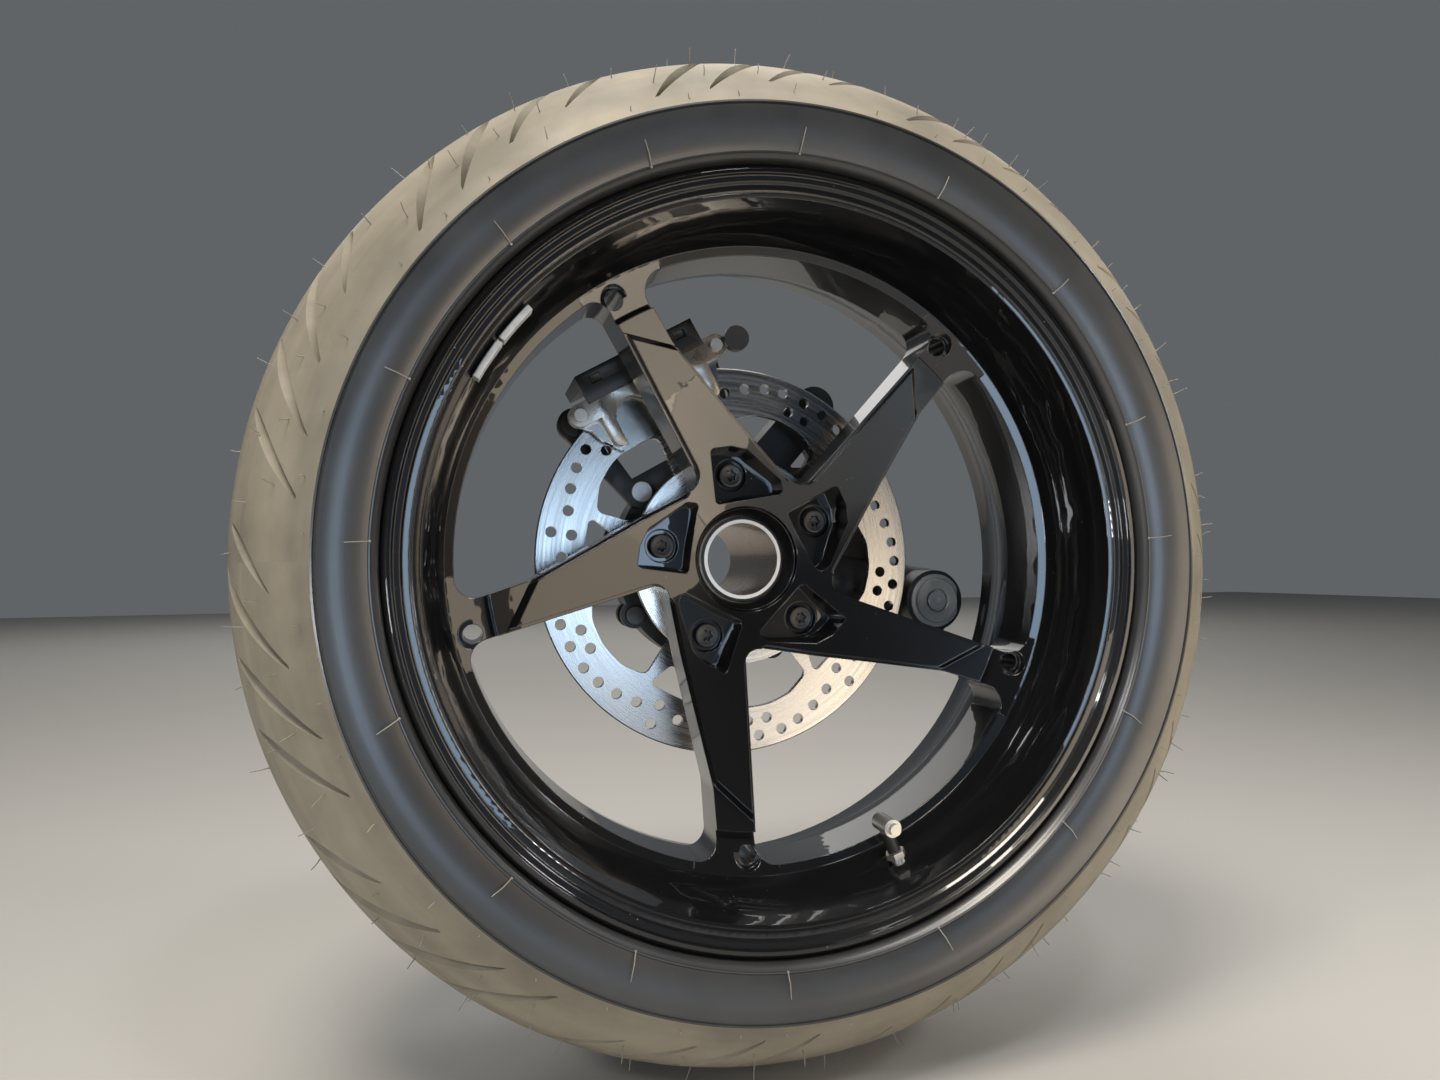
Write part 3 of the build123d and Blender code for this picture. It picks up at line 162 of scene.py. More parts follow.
# One bolt's pocket as (along, across) the bolt's own ray, with the radius of each corner
POCKET = (
    (78.0, 18.0, 3.0), (78.0, 3.0, 3.0), (74.0, -9.0, 3.0),
    (50.0, -31.0, 3.0), (41.0, -32.0, 3.0), (40.5, 16.5, 3.0),
)
POCKET_OVERLAP = 0.2
POCKET_MOUTH = 0.5
POCKET_FLOOR_Y = 33.0
POCKET_DRAFT = 2.6
POCKET_RAYS = 96
POCKET_REACH = 60.0
LINING_DEPTH = 0.4
CUP_RADIUS = 11.4

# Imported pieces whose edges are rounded, with the width of the rounding, then the angle from which
# an edge is rounded and the one up to which faces count as flat
SOFTENED = {"caliper_cover": 1.6, "caliper_body": 1.2, "caliper_bracket": 1.0}
ROUNDING_STEPS = 2
ROUNDED_FROM = 38.0
FLAT_ANGLE = 0.6

# Bands of colour around the axle, as radii: the edge of the axle's bore, painted brown inside as a painted
# reflection; the outer edge of the near-white band on its end, a painted highlight; the outer edge of a black
# band of painted shade on the end's chamfered edge; then the valve's rubber stem
AXLE_BORE = 25.55
AXLE_END = 28.0
CHAMFER_SHADE_EDGE = 30.5
VALVE_STEM = (187.5, 201.6)

# Wheel bolts
BOLT_ANGLE = 26.67
BOLT_CIRCLE_RADIUS = 59.5
BOLT_SEAT_Y = 38.0
BOLT_HEAD_HEIGHT = 6.4
BOLT_HEAD_RADIUS = 8.4
BOLT_SHANK_RADIUS = 5.0
BOLT_SHANK_LENGTH = 12.0
BOLT_EDGE = 0.9
BOLT_LAND = 0.9
BOLT_DISH = 0.6
SOCKET_RADIUS = 4.3
SOCKET_DEPTH = 3.2
SOCKET_TIP = 0.6
SOCKET_LOBES = 6
SOCKET_BITE = 0.27
# Turn of each bolt beyond the last one's, in radians
BOLT_TWIST = 0.3
BOLTS = 5
SIDES = 48
NEAR = Vector((0.0, -1.0, 0.0))

# Angles from which edges are shaded as sharp
TREAD_SHARP = 32.0
HAIR_SHARP = 35.0
RIM_SHARP = 28.0
SOFTENED_SHARP = 40.0
BOLT_SHARP = 25.0
PIECE_SHARP = 28.0

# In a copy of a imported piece, points this near, in metres, are merged and these attributes left out
MERGE_DISTANCE = 1e-6
STORED_SHADING = ("custom_normal", "sharp_edge", "sharp_face")

CAMERA_PLACE = (-187.41, -3.72, -607.29)
CAMERA_TURN = (91.492, 0.618, -14.886)
CAMERA_LENS = 23.668


def at(x, z, y):
    """A place in the scene from a point of the wheel's frame."""
    return Vector((AXLE_X + x * MM, WHEEL_Y + y * MM, AXLE_Z + z * MM))


def around(radius, angle, y):
    turn = math.radians(angle)
    return at(radius * math.cos(turn), radius * math.sin(turn), y)


def link(obj):
    bpy.context.scene.collection.objects.link(obj)
    return obj


# Camera at the photograph's viewing angle
camera_data = bpy.data.cameras.new("camera")
camera_data.lens = CAMERA_LENS
camera_data.sensor_width = 36.0
camera_data.sensor_fit = "HORIZONTAL"
camera_data.clip_start = 0.01
camera = link(bpy.data.objects.new("camera", camera_data))
camera.location = at(*CAMERA_PLACE)
camera.rotation_euler = [math.radians(turn) for turn in CAMERA_TURN]
bpy.context.scene.camera = camera
bpy.context.scene.view_settings.view_transform = "Standard"


class Material:
    """A material with short ways to add and join its nodes."""

    def __init__(self, name, colour, roughness, metallic=0.0):
        self.data = bpy.data.materials.new(name)
        self.data.use_nodes = True
        self.tree = self.data.node_tree
        self.shader = self.tree.nodes["Principled BSDF"]
        self.set("Base Color", (*colour, 1.0))
        self.set("Roughness", roughness)
        self.set("Metallic", metallic)

    def set(self, socket, value):
        self.shader.inputs[socket].default_value = value

    def join(self, source, target):
        self.tree.links.new(source, target)

    def node(self, kind, inputs=None, **settings):
        made = self.tree.nodes.new(kind)
        for key, value in settings.items():
            setattr(made, key, value)
        for key, value in (inputs or {}).items():
            if isinstance(value, bpy.types.NodeSocket):
                self.join(value, made.inputs[key])
            else:
                made.inputs[key].default_value = value
        return made

    def math(self, operation, first, second=0.0):
        return self.node("ShaderNodeMath", {0: first, 1: second}, operation=operation).outputs[0]

    def place(self):
        """Places on the object, in metres."""
        return self.node("ShaderNodeTexCoord").outputs["Object"]

    def wheel_place(self, out=1.0, along=1.0, across=1.0):
        """Places around the wheel's axle: radius, arc at 0.1 m and width, each stretched."""
        spot = self.node("ShaderNodeSeparateXYZ", {0: self.place()})
        x = self.math("SUBTRACT", spot.outputs[0], AXLE_X)
        z = self.math("SUBTRACT", spot.outputs[2], AXLE_Z)
        radius = self.math("SQRT", self.math("ADD", self.math("MULTIPLY", x, x), self.math("MULTIPLY", z, z)))
        arc = self.math("MULTIPLY", self.math("ARCTAN2", z, x), 0.1 * along)
        width = self.math("MULTIPLY", spot.outputs[1], across)
        parts = {0: self.math("MULTIPLY", radius, out), 1: arc, 2: width}
        return self.node("ShaderNodeCombineXYZ", parts).outputs[0]

    def noise(self, vector, scale, detail=3.0, roughness=0.55):
        inputs = {"Vector": vector, "Scale": scale, "Detail": detail, "Roughness": roughness}
        return self.node("ShaderNodeTexNoise", inputs).outputs["Fac"]

    def between(self, value, low, high):
        """One where a value lies between two others, and nought elsewhere."""
        above = self.math("GREATER_THAN", value, low)
        return self.math("MULTIPLY", above, self.math("LESS_THAN", value, high))

    def radius(self):
        """Distance from the wheel's axle, in metres."""
        return self.node("ShaderNodeSeparateXYZ", {0: self.wheel_place()}).outputs[0]

    def ramp(self, value, low, high, low_out=0.0, high_out=1.0):
        inputs = {"Value": value, "From Min": low, "From Max": high, "To Min": low_out, "To Max": high_out}
        return self.node("ShaderNodeMapRange", inputs).outputs[0]

    def mix(self, share, first, second):
        made = self.node("ShaderNodeMix", data_type="RGBA")
        made.inputs[0].default_value = 0.5
        self.join(share, made.inputs[0])
        for socket, value in ((made.inputs[6], first), (made.inputs[7], second)):
            if isinstance(value, bpy.types.NodeSocket):
                self.join(value, socket)
            else:
                socket.default_value = (*value, 1.0)
        return made.outputs[2]

    def colour(self, source):
        self.join(source, self.shader.inputs["Base Color"])

    def rough(self, source):
        self.join(source, self.shader.inputs["Roughness"])

    def bump(self, height, distance, strength, edge=0.0):
        """Fine relief, and an edge rounded by edge metres where that isn't zero."""
        made = self.node("ShaderNodeBump", {"Height": height, "Distance": distance, "Strength": strength})
        if edge:
            rounded = self.node("ShaderNodeBevel", {"Radius": edge}, samples=6)
            self.join(rounded.outputs[0], made.inputs["Normal"])
        self.join(made.outputs[0], self.shader.inputs["Normal"])
        return made.outputs[0]

    def coat(self, weight, roughness, ior, normal):
        self.set("Coat Weight", weight)
        self.set("Coat Roughness", roughness)
        self.set("Coat IOR", ior)
        self.join(normal, self.shader.inputs["Coat Normal"])


def gloss_black():
    """Deep black stove enamel with a few specks of dust."""
    made = Material("gloss_black", (0.004, 0.004, 0.0045), 0.3)
    made.set("Specular IOR Level", 0.2)
    place = made.place()
    cells = made.node("ShaderNodeTexVoronoi", {"Vector": place, "Scale": 260.0}, feature="F1")
    dot = made.ramp(cells.outputs["Distance"], 0.05, 0.10, 1.0, 0.0)
    chosen = made.node("ShaderNodeSeparateColor", {0: cells.outputs["Color"]})
    rare = made.math("GREATER_THAN", chosen.outputs[0], 0.86)
    patches = made.ramp(made.noise(place, 9.0, 2.0), 0.48, 0.62)
    dust = made.math("MULTIPLY", made.math("MULTIPLY", dot, rare), patches)
    made.colour(made.mix(dust, (0.004, 0.004, 0.0045), (0.35, 0.33, 0.3)))
    normal = made.bump(made.noise(place, 90.0, 1.0), 0.00005, 1.0, edge=0.0010)
    made.coat(1.0, 0.015, 1.55, normal)
    return made.data


def tread_rubber():
    """New tread: tan-grey with the mould's bloom, and faint streaks around the tyre."""
    made = Material("tread_rubber", (0.14, 0.125, 0.10), 0.58)
    place = made.place()
    streaks = made.noise(made.wheel_place(8.0, 6.0, 60.0), 1.0, 4.0)
    clouds = made.noise(place, 14.0, 4.0, 0.6)
    tone = made.math("ADD", made.math("MULTIPLY", streaks, 0.45), made.math("MULTIPLY", clouds, 0.55))
    made.colour(made.mix(made.ramp(tone, 0.36, 0.66), (0.17, 0.15, 0.112), (0.31, 0.27, 0.20)))
    made.rough(made.ramp(made.noise(place, 30.0, 3.0), 0.3, 0.7, 0.48, 0.68))
    grain = made.math("ADD", made.noise(place, 900.0, 2.0), made.math("MULTIPLY", clouds, 2.0))
    made.bump(grain, 0.00012, 0.7)
    return made.data


def groove_shade_rubber():
    """Rubber on the groove floors: darker as painted shade in the grooves, and partly as rubber with less of
    the mould's bloom.
    """
    made = Material("groove_shade_rubber", (0.04, 0.036, 0.03), 0.6)
    place = made.place()
    clouds = made.ramp(made.noise(place, 40.0), 0.35, 0.68)
    made.colour(made.mix(clouds, (0.028, 0.026, 0.022), (0.06, 0.053, 0.042)))
    made.bump(made.noise(place, 800.0, 2.0), 0.0001, 0.6)
    return made.data


def wall_rubber():
    """Sidewall: smoother and darker than the tread, with a bluish bloom."""
    made = Material("wall_rubber", (0.04, 0.042, 0.046), 0.42)
    place = made.place()
    clouds = made.noise(place, 10.0, 4.0, 0.6)
    made.colour(made.mix(made.ramp(clouds, 0.35, 0.68), (0.011, 0.0115, 0.012), (0.026, 0.0265, 0.028)))
    made.rough(made.ramp(made.noise(place, 24.0, 3.0), 0.3, 0.7, 0.40, 0.55))
    fine = made.noise(made.wheel_place(600.0, 3.0, 600.0), 1.0, 2.0)
    normal = made.bump(fine, 0.00006, 0.5)
    made.coat(0.5, 0.24, 1.8, normal)
    return made.data


def metal(name, colour, roughness, grain=0.00003, scale=300.0, metallic=1.0):
    """Machined or cast metal with uneven gloss and softened edges."""
    made = Material(name, colour, roughness, metallic)
    place = made.place()
    wear = made.noise(place, scale / 6.0, 4.0)
    dark = tuple(part * 0.72 for part in colour)
    made.colour(made.mix(made.ramp(wear, 0.35, 0.7), dark, colour))
    made.rough(made.ramp(wear, 0.3, 0.7, roughness + 0.12, roughness - 0.06))
    made.bump(made.noise(place, scale, 3.0), grain, 1.0, edge=0.0004)
    return made


def brushed_disc():
    """Ground steel with fine and broad rings around the axle."""
    made = Material("brushed_disc", (0.66, 0.65, 0.63), 0.26, 1.0)
    rings = made.noise(made.wheel_place(2600.0, 14.0, 1.0), 1.0, 3.0)
    broad = made.noise(made.wheel_place(420.0, 5.0, 1.0), 1.0, 2.0)
    tone = made.math("ADD", made.math("MULTIPLY", rings, 0.5), made.math("MULTIPLY", broad, 0.5))
    made.colour(made.mix(made.ramp(tone, 0.35, 0.65), (0.46, 0.455, 0.445), (0.57, 0.565, 0.555)))
    made.rough(made.ramp(tone, 0.35, 0.65, 0.20, 0.34))
    made.bump(rings, 0.000012, 0.6, edge=0.0003)
    made.set("Anisotropic", 0.5)
    tangent = made.node("ShaderNodeTangent", direction_type="RADIAL", axis="Y")
    made.join(tangent.outputs[0], made.shader.inputs["Tangent"])
    return made.data


def turned_steel():
    """Steel turned on a lathe, with painted light: a near-white, less metallic band on its end as a painted
    highlight, a brown bore as a painted reflection, and a black band as painted shade on the end's chamfered
    edge.
    """
    bright, bore_reflection_brown, black = (0.72, 0.70, 0.67), (0.30, 0.24, 0.19), (0.012, 0.012, 0.012)
    made = Material("turned_steel", bright, 0.2, 1.0)
    rings = made.noise(made.wheel_place(1800.0, 1.0, 1800.0), 1.0, 2.0)
    made.rough(made.ramp(rings, 0.3, 0.7, 0.16, 0.32))
    radius = made.radius()
    # A black band on the end's chamfered edge: painted shade
    painted = made.between(radius, AXLE_END * MM, CHAMFER_SHADE_EDGE * MM)
    # A near-white band on the end face, made less metallic below: painted highlight
    face = made.between(radius, AXLE_BORE * MM, AXLE_END * MM)
    # The bore in brown: painted reflection
    inner = made.mix(made.math("LESS_THAN", radius, AXLE_BORE * MM), bright, bore_reflection_brown)
    made.colour(made.mix(painted, made.mix(face, inner, (0.80, 0.79, 0.77)), black))
    # The bands of painted light and shade are made less metallic, so that their painted colour shows
    sheen = made.math("ADD", painted, made.math("MULTIPLY", face, 0.85))
    made.join(made.ramp(sheen, 0.0, 1.0, 1.0, 0.0), made.shader.inputs["Metallic"])
    made.bump(rings, 0.00002, 0.6, edge=0.0003)
    return made.data


def valve_metal():
    """A bright cap and nut, with a black rubber stem between them."""
    bright = (0.62, 0.60, 0.56)
    made = metal("valve_metal", bright, 0.34)
    stem = made.between(made.radius(), VALVE_STEM[0] * MM, VALVE_STEM[1] * MM)
    made.colour(made.mix(stem, bright, (0.014, 0.014, 0.014)))
    made.join(made.ramp(stem, 0.0, 1.0, 1.0, 0.0), made.shader.inputs["Metallic"])
    return made.data


def weight_paint():
    made = Material("weight_paint", (0.60, 0.61, 0.62), 0.42)
    place = made.place()
    spots = made.noise(place, 160.0, 4.0)
    made.colour(made.mix(made.ramp(spots, 0.35, 0.7), (0.47, 0.48, 0.49), (0.66, 0.67, 0.68)))
    made.bump(made.noise(place, 420.0, 2.0), 0.0001, 0.6, edge=0.0003)
    return made.data


def moulded(name, colour, roughness):
    """Moulded plastic or rubber with a fine grain."""
    made = Material(name, colour, roughness)
    place = made.place()
    light = tuple(part * 1.6 for part in colour)
    made.colour(made.mix(made.ramp(made.noise(place, 60.0), 0.35, 0.7), colour, light))
    made.bump(made.noise(place, 700.0, 2.0), 0.0001, 0.7, edge=0.0004)
    return made.data


paints = {
    "rim": gloss_black(),
    "tyre": tread_rubber(),
    "wall": wall_rubber(),
    # Groove floors: painted shade, partly rubber with less of the mould's bloom
    "groove": groove_shade_rubber(),
    "hair": moulded("hair_rubber", (0.22, 0.20, 0.17), 0.5),
    "valve": valve_metal(),
    "weights": weight_paint(),
    "dark_steel": metal("dark_steel", (0.09, 0.088, 0.086), 0.38, metallic=0.7).data,
    "bolt_black": metal("bolt_black", (0.045, 0.044, 0.044), 0.34, metallic=0.35).data,
    "axle_steel": turned_steel(),
    "disc_steel": brushed_disc(),
    "casting": metal("casting", (0.022, 0.022, 0.023), 0.42, 0.00012, 500.0, metallic=0.0).data,
    "bright_steel": metal("bright_steel", (0.66, 0.65, 0.63), 0.36, metallic=0.75).data,
    "grey_steel": metal("grey_steel", (0.44, 0.43, 0.40), 0.45, metallic=0.3).data,
    "caliper_metal": metal("caliper_metal", (0.46, 0.43, 0.39), 0.26, 0.00005, 500.0, metallic=0.9).data,
    "black_plastic": moulded("black_plastic", (0.012, 0.012, 0.012), 0.4),
    "pad_steel": metal("pad_steel", (0.66, 0.66, 0.65), 0.22, 0.00001).data,
    "black_rubber": moulded("black_rubber", (0.018, 0.016, 0.015), 0.5),
}


def repaint(made, paint):
    """One material in the place of those that a piece has."""
    made.data.materials.clear()
    made.data.materials.append(paint)


slot_of = {part["node"]: part["material_slot"] for part in frame["record"]["subparts"]}
for name, node in nodes.items():
    repaint(node, paints[slot_of[name]])


def shade(mesh, sharp):
    """Smooth shading, with edges sharp from an angle on."""
    mesh.shade_smooth()
    mesh.set_sharp_from_angle(angle=math.radians(sharp))


class Shape:
    """Points and faces of several simple forms, made into one mesh."""

    def __init__(self):
        self.points = []
        self.faces = []
        self.paints = []

    def add(self, points, faces, paint):
        start = len(self.points)
        self.points.extend(points)
        self.faces.extend([tuple(start + corner for corner in face) for face in faces])
        self.paints.extend([paint] * len(faces))

    def loft(self, rings, paint=0, ends=(False, False), closed=False):
        """Faces between rings that have as many points each, with ends capped where said."""
        count = len(rings[0])
        faces = []
        for ring in range(len(rings) if closed else len(rings) - 1):
            here = ring * count
            there = (ring + 1) % len(rings) * count
            for side in range(count):
                after = (side + 1) % count
                faces.append((here + side, here + after, there + after, there + side))
        if ends[0]:
            faces.append(tuple(reversed(range(count))))
        if ends[1]:
            faces.append(tuple(range((len(rings) - 1) * count, len(rings) * count)))
        self.add([point for ring in rings for point in ring], faces, paint)

    def tube(self, path, radii, sides):
        """A thin tube along a path, capped at both ends."""
        rings = []
        for spot, radius in enumerate(radii):
            ahead = path[min(spot + 1, len(path) - 1)] - path[max(spot - 1, 0)]
            turn = ahead.to_track_quat("Z", "Y")
            angles = [2 * math.pi * side / sides for side in range(sides)]
            circle = [Vector((radius * math.cos(angle), radius * math.sin(angle), 0)) for angle in angles]
            rings.append([path[spot] + turn @ point for point in circle])
        self.loft(rings, ends=(True, True))

    def make(self, name, body, slot, materials, node=None, sharp=HAIR_SHARP):
        """One object with its body and, where said, the node that it replaces, which is hidden. The slot is
        not used.
        """
        mesh = bpy.data.meshes.new(name)
        mesh.from_pydata(self.points, [], self.faces)
        for material in materials:
            mesh.materials.append(material)
        mesh.polygons.foreach_set("material_index", self.paints)
        mesh.update()
        shade(mesh, sharp)
        made = link(bpy.data.objects.new(name, mesh))
        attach(made, body)
        if node:
            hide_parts(node)


def crown(turn, lean, depth):
    """A place on the crown: turn around the wheel, lean from its middle to the near side."""
    out = CROWN_RADIUS - depth
    leaned = math.radians(lean)
    return around(CROWN_MIDDLE + out * math.cos(leaned), turn, -out * math.sin(leaned))


def groove_outline(turn, inner, outer, half_width, floor):
    """One groove's mouth or floor as (turn, lean): a curved blade, steep on one side."""
    per_turn = math.radians(1.0) * (CROWN_MIDDLE + CROWN_RADIUS * math.cos(math.radians(GROOVE_MIDDLE)))
    first, last = GROOVE_FLOOR if floor else (0.0, 1.0)
    sides = []
    for steep in (True, False):
        edge = []
        for step in range(GROOVE_STEPS + 1):
            share = first + (last - first) * step / GROOVE_STEPS
            swell = half_width * math.sin(math.pi * share**GROOVE_SKEW) if 0.0 < share < 1.0 else 0.0
            low, high = -swell, swell
            if floor:
                least = GROOVE_STEEP + GROOVE_LEAST
                low, high = -swell + GROOVE_STEEP, -swell + max(least, GROOVE_FLAT * 2 * swell)
            bow = GROOVE_BOW * math.sin(math.pi * share)
            offset = low if steep else high
            edge.append((turn + (offset - bow) / per_turn, inner + (outer - inner) * share))
        sides.append(edge)
    left, right = sides
    if not floor:
        right = right[1:-1]
    return left + right[::-1]


def tread_half():
    """Half a group's tread as flat points (turn, lean), their depths, and triangles."""
    flat, depths, edges, outlines = [], [], [], []
    wide = math.radians(1.0) * TYRE_RADIUS
    tall = math.radians(1.0) * CROWN_RADIUS
    for turn, inner, outer, half_width in GROOVES:
        for floor, depth in ((False, 0.0), (True, GROOVE_DEPTH)):
            outline = groove_outline(turn + GROOVE_LEAD, inner, outer, half_width, floor)
            start = len(flat)
            flat.extend(outline)
            depths.extend([depth] * len(outline))
            edges.extend([(start + i, start + (i + 1) % len(outline)) for i in range(len(outline))])
            if not floor:
                outlines.append(outline)
    fixed = [Vector((turn * wide, lean * tall)) for turn, lean in flat]
    for row in range(ROWS + 1):
        for column in range(COLUMNS + 1):
            spot = (GROUP_ANGLE * column / COLUMNS, CROWN_EDGE * row / ROWS)
            flat_spot = Vector((spot[0] * wide, spot[1] * tall))
            on_edge = column in (0, COLUMNS) or row in (0, ROWS)
            clear = on_edge or min((flat_spot - other).length for other in fixed) > GRID_CLEARANCE
            if clear and not any(inside(spot, outline) for outline in outlines):
                flat.append(spot)
                depths.append(0.0)
    places = [Vector((turn * wide, lean * tall)) for turn, lean in flat]
    points, _, faces, origins, _, _ = geometry.delaunay_2d_cdt(places, edges, [], 0, POINT_TOLERANCE)
    spots = [(point.x / wide, point.y / tall) for point in points]
    sunk = [max((depths[source] for source in origin), default=0.0) for origin in origins]
    return spots, sunk, faces


def inside(spot, outline):
    """True where a spot lies inside a closed outline."""
    x, y = spot
    found = False
    for (x1, y1), (x2, y2) in zip(outline, outline[1:] + outline[:1]):
        if (y1 > y) != (y2 > y) and x < (x2 - x1) * (y - y1) / (y2 - y1) + x1:
            found = not found
    return found


# The tyre's paints, by their place in its list
TREAD_PAINT, WALL_PAINT, GROOVE_SHADE_PAINT = range(3)
# Sidewall and inside, from the near edge of the tread round to the far edge: radius, y
WALL = (
    (263.6, 94.8), (263.2, 93.9), (262.4, 93.9), (262.0, 94.7), (258.0, 94.5), (253.0, 93.8), (248.0, 92.6),
    (243.0, 91.0), (239.6, 89.5), (237.7, 88.5), (237.3, 89.0), (236.6, 88.9), (236.2, 88.0), (234.9, 86.9),
    (233.9, 85.4), (233.1, 83.6), (232.7, 81.0), (232.6, 76.2), (224.0, 75.6), (219.4, 74.6), (218.6, 70.0),
    (218.6, 58.0), (222.0, 57.2), (232.0, 66.0), (240.0, 78.0), (252.0, 86.0), (262.0, 84.0),
)


def build_tyre():
    """The tread's groups on both halves, then the sidewalls and the inside as one lathed band."""
    spots, sunk, faces = tread_half()
    shape = Shape()
    for group in range(GROUPS):
        for side in (1.0, -1.0):
            shift = TREAD_START + GROUP_ANGLE * group + (0.0 if side > 0 else GROUP_ANGLE / 2)
            points = [
                crown(turn + shift + SLANT * lean, lean * side, depth)
                for (turn, lean), depth in zip(spots, sunk)
            ]
            for face in faces:
                # Faces wholly on a groove's floor get the darker groove paint: painted shade
                in_groove = all(sunk[corner] > 0.0 for corner in face)
                shape.paints.append(GROOVE_SHADE_PAINT if in_groove else TREAD_PAINT)
            start = len(shape.points)
            shape.points.extend(points)
            outward = [face if side > 0 else face[::-1] for face in faces]
            shape.faces.extend([tuple(start + corner for corner in face) for face in outward])
    count = GROUPS * COLUMNS
    shift = TREAD_START + SLANT * CROWN_EDGE
    liner_edge = math.degrees(math.asin(LINER_HALF_WIDTH / LINER_RADIUS))
    leans = [math.radians(liner_edge * (1 - 2 * row / LINER_ROWS)) for row in range(LINER_ROWS + 1)]
    liner = [(CROWN_MIDDLE + LINER_RADIUS * math.cos(a), LINER_RADIUS * math.sin(a)) for a in leans]
    edge = (CROWN_MIDDLE + CROWN_RADIUS * math.cos(math.radians(CROWN_EDGE)), TYRE_HALF_WIDTH - EDGE_INSET)
    profile = [edge, *WALL, *liner, *[(radius, -y) for radius, y in reversed(WALL)], (edge[0], -edge[1])]
    rings = [
        [around(radius, shift + 360.0 * side / count, -y) for side in range(count)] for radius, y in profile
    ]
    shape.loft(rings, WALL_PAINT)
    return shape


tyre_paints = [paints["tyre"], paints["wall"], paints["groove"]]
build_tyre().make("tyre_dressed", "wheel", "tyre", tyre_paints, "tyre", TREAD_SHARP)


def past_box(tip):
    """True where a hair's tip would pass the tyre's own box."""
    reach = max(abs(tip.x - AXLE_X), abs(tip.z - AXLE_Z)) / MM
    side = abs(tip.y - WHEEL_Y) / MM
    return reach > TYRE_RADIUS - HAIR_MARGIN or side > TYRE_HALF_WIDTH - HAIR_SIDE_MARGIN


def build_whiskers():
    """Moulding hairs: short ones over the tread, long ones lying along the sidewall."""
    draw = random.Random(7)
    shape = Shape()
    for group in range(GROUPS):
        for side in (1.0, -1.0):
            start = FIRST_GROOVE + GROUP_ANGLE * group + (0.0 if side > 0 else GROUP_ANGLE / 2)
            for turn, lean in TREAD_HAIRS:
                turn += start + draw.uniform(-1.2, 1.2)
                lean = (lean + draw.uniform(-1.0, 0.6)) * side
                length = draw.uniform(*TREAD_HAIR_LENGTHS)
                foot = crown(turn, lean, HAIR_ROOT)
                tip_turn = turn + draw.uniform(-0.5, 0.5)
                tip = crown(tip_turn, lean + draw.uniform(-1.5, 1.0) * side, -length)
                for _ in range(HAIR_TRIES):
                    if past_box(tip):
                        tip = foot.lerp(tip, HAIR_SHORTER)
                if past_box(tip):
                    continue
                middle = (foot + tip) / 2 + Vector([draw.uniform(-0.4, 0.4) * MM for _ in range(3)])
                shape.tube([foot, middle, tip], TREAD_HAIR_RADII, HAIR_SIDES)
    for number in range(BEAD_HAIRS):
        for side in (1.0, -1.0):
            turn = 360.0 / BEAD_HAIRS * number + draw.uniform(-3.0, 3.0)
            lean = draw.uniform(-0.8, 0.8)
            foot = around(BEAD_FOOT[0], turn, -BEAD_FOOT[1] * side)
            knee_radius = draw.uniform(*BEAD_KNEE[0])
            knee = around(knee_radius, turn + lean * 0.4, -draw.uniform(*BEAD_KNEE[1]) * side)
            tip_radius = draw.uniform(*BEAD_TIP[0])
            tip = around(tip_radius, turn + lean, -draw.uniform(*BEAD_TIP[1]) * side)
            shape.tube([foot, knee, tip], BEAD_HAIR_RADII, HAIR_SIDES)
            dot = around(BEAD_DOT[0], turn, -BEAD_DOT[1] * side)
            shape.tube([foot, dot], BEAD_DOT_RADII, BEAD_DOT_SIDES)
    return shape


build_whiskers().make("tyre_whiskers", "wheel", "tyre", [paints["hair"]])


def ring(place, radius, height, lobes=0):
    """A ring of points square to a local z axis, round or with lobes."""
    points = []
    for side in range(SIDES):
        turn = 2 * math.pi * side / SIDES
        out = radius * (1 - SOCKET_BITE * (0.5 - 0.5 * math.cos(lobes * turn))) if lobes else radius
        points.append(place @ Vector((out * math.cos(turn) * MM, out * math.sin(turn) * MM, height * MM)))
    return points


def facing(place, out):
    """A local frame at a place, with z along out."""
    return Matrix.Translation(place) @ out.to_track_quat("Z", "Y").to_matrix().to_4x4()


def socket_bolt(shape, place):
    """A round head with a chamfered rim, a dished face and a six-lobed socket."""
    top, dished = BOLT_HEAD_HEIGHT, BOLT_HEAD_HEIGHT - BOLT_DISH
    bottom = dished - SOCKET_DEPTH
    rings = [
        ring(place, BOLT_SHANK_RADIUS, -BOLT_SHANK_LENGTH), ring(place, BOLT_SHANK_RADIUS, 0.0),
        ring(place, BOLT_HEAD_RADIUS, 0.0), ring(place, BOLT_HEAD_RADIUS, top - BOLT_EDGE),
        ring(place, BOLT_HEAD_RADIUS - 0.3 * BOLT_EDGE, top - 0.3 * BOLT_EDGE),
        ring(place, BOLT_HEAD_RADIUS - BOLT_EDGE, top),
        ring(place, BOLT_HEAD_RADIUS - BOLT_EDGE - BOLT_LAND, top),
        ring(place, SOCKET_RADIUS * 1.22, dished), ring(place, SOCKET_RADIUS, dished, SOCKET_LOBES),
        ring(place, SOCKET_RADIUS * 0.96, bottom, SOCKET_LOBES),
        ring(place, SOCKET_RADIUS * 0.4, bottom - SOCKET_TIP),
    ]
    shape.loft(rings, ends=(True, True))


def corner_arc(before, corner, after, radius):
    """Points of the arc that rounds a corner between two straight lines."""
    into, out = (before - corner).normalized(), (after - corner).normalized()
    half = math.acos(max(-1.0, min(1.0, into.dot(out)))) / 2
    reach = radius / math.tan(half)
    middle = corner + (into + out).normalized() * (radius / math.sin(half))
    first, last = corner + into * reach - middle, corner + out * reach - middle
    whole = first.angle_signed(last)
    points = []
    for step in range(CORNER_STEPS + 1):
        turn = -whole * step / CORNER_STEPS
        points.append(middle + Matrix.Rotation(turn, 2) @ first)
    return points


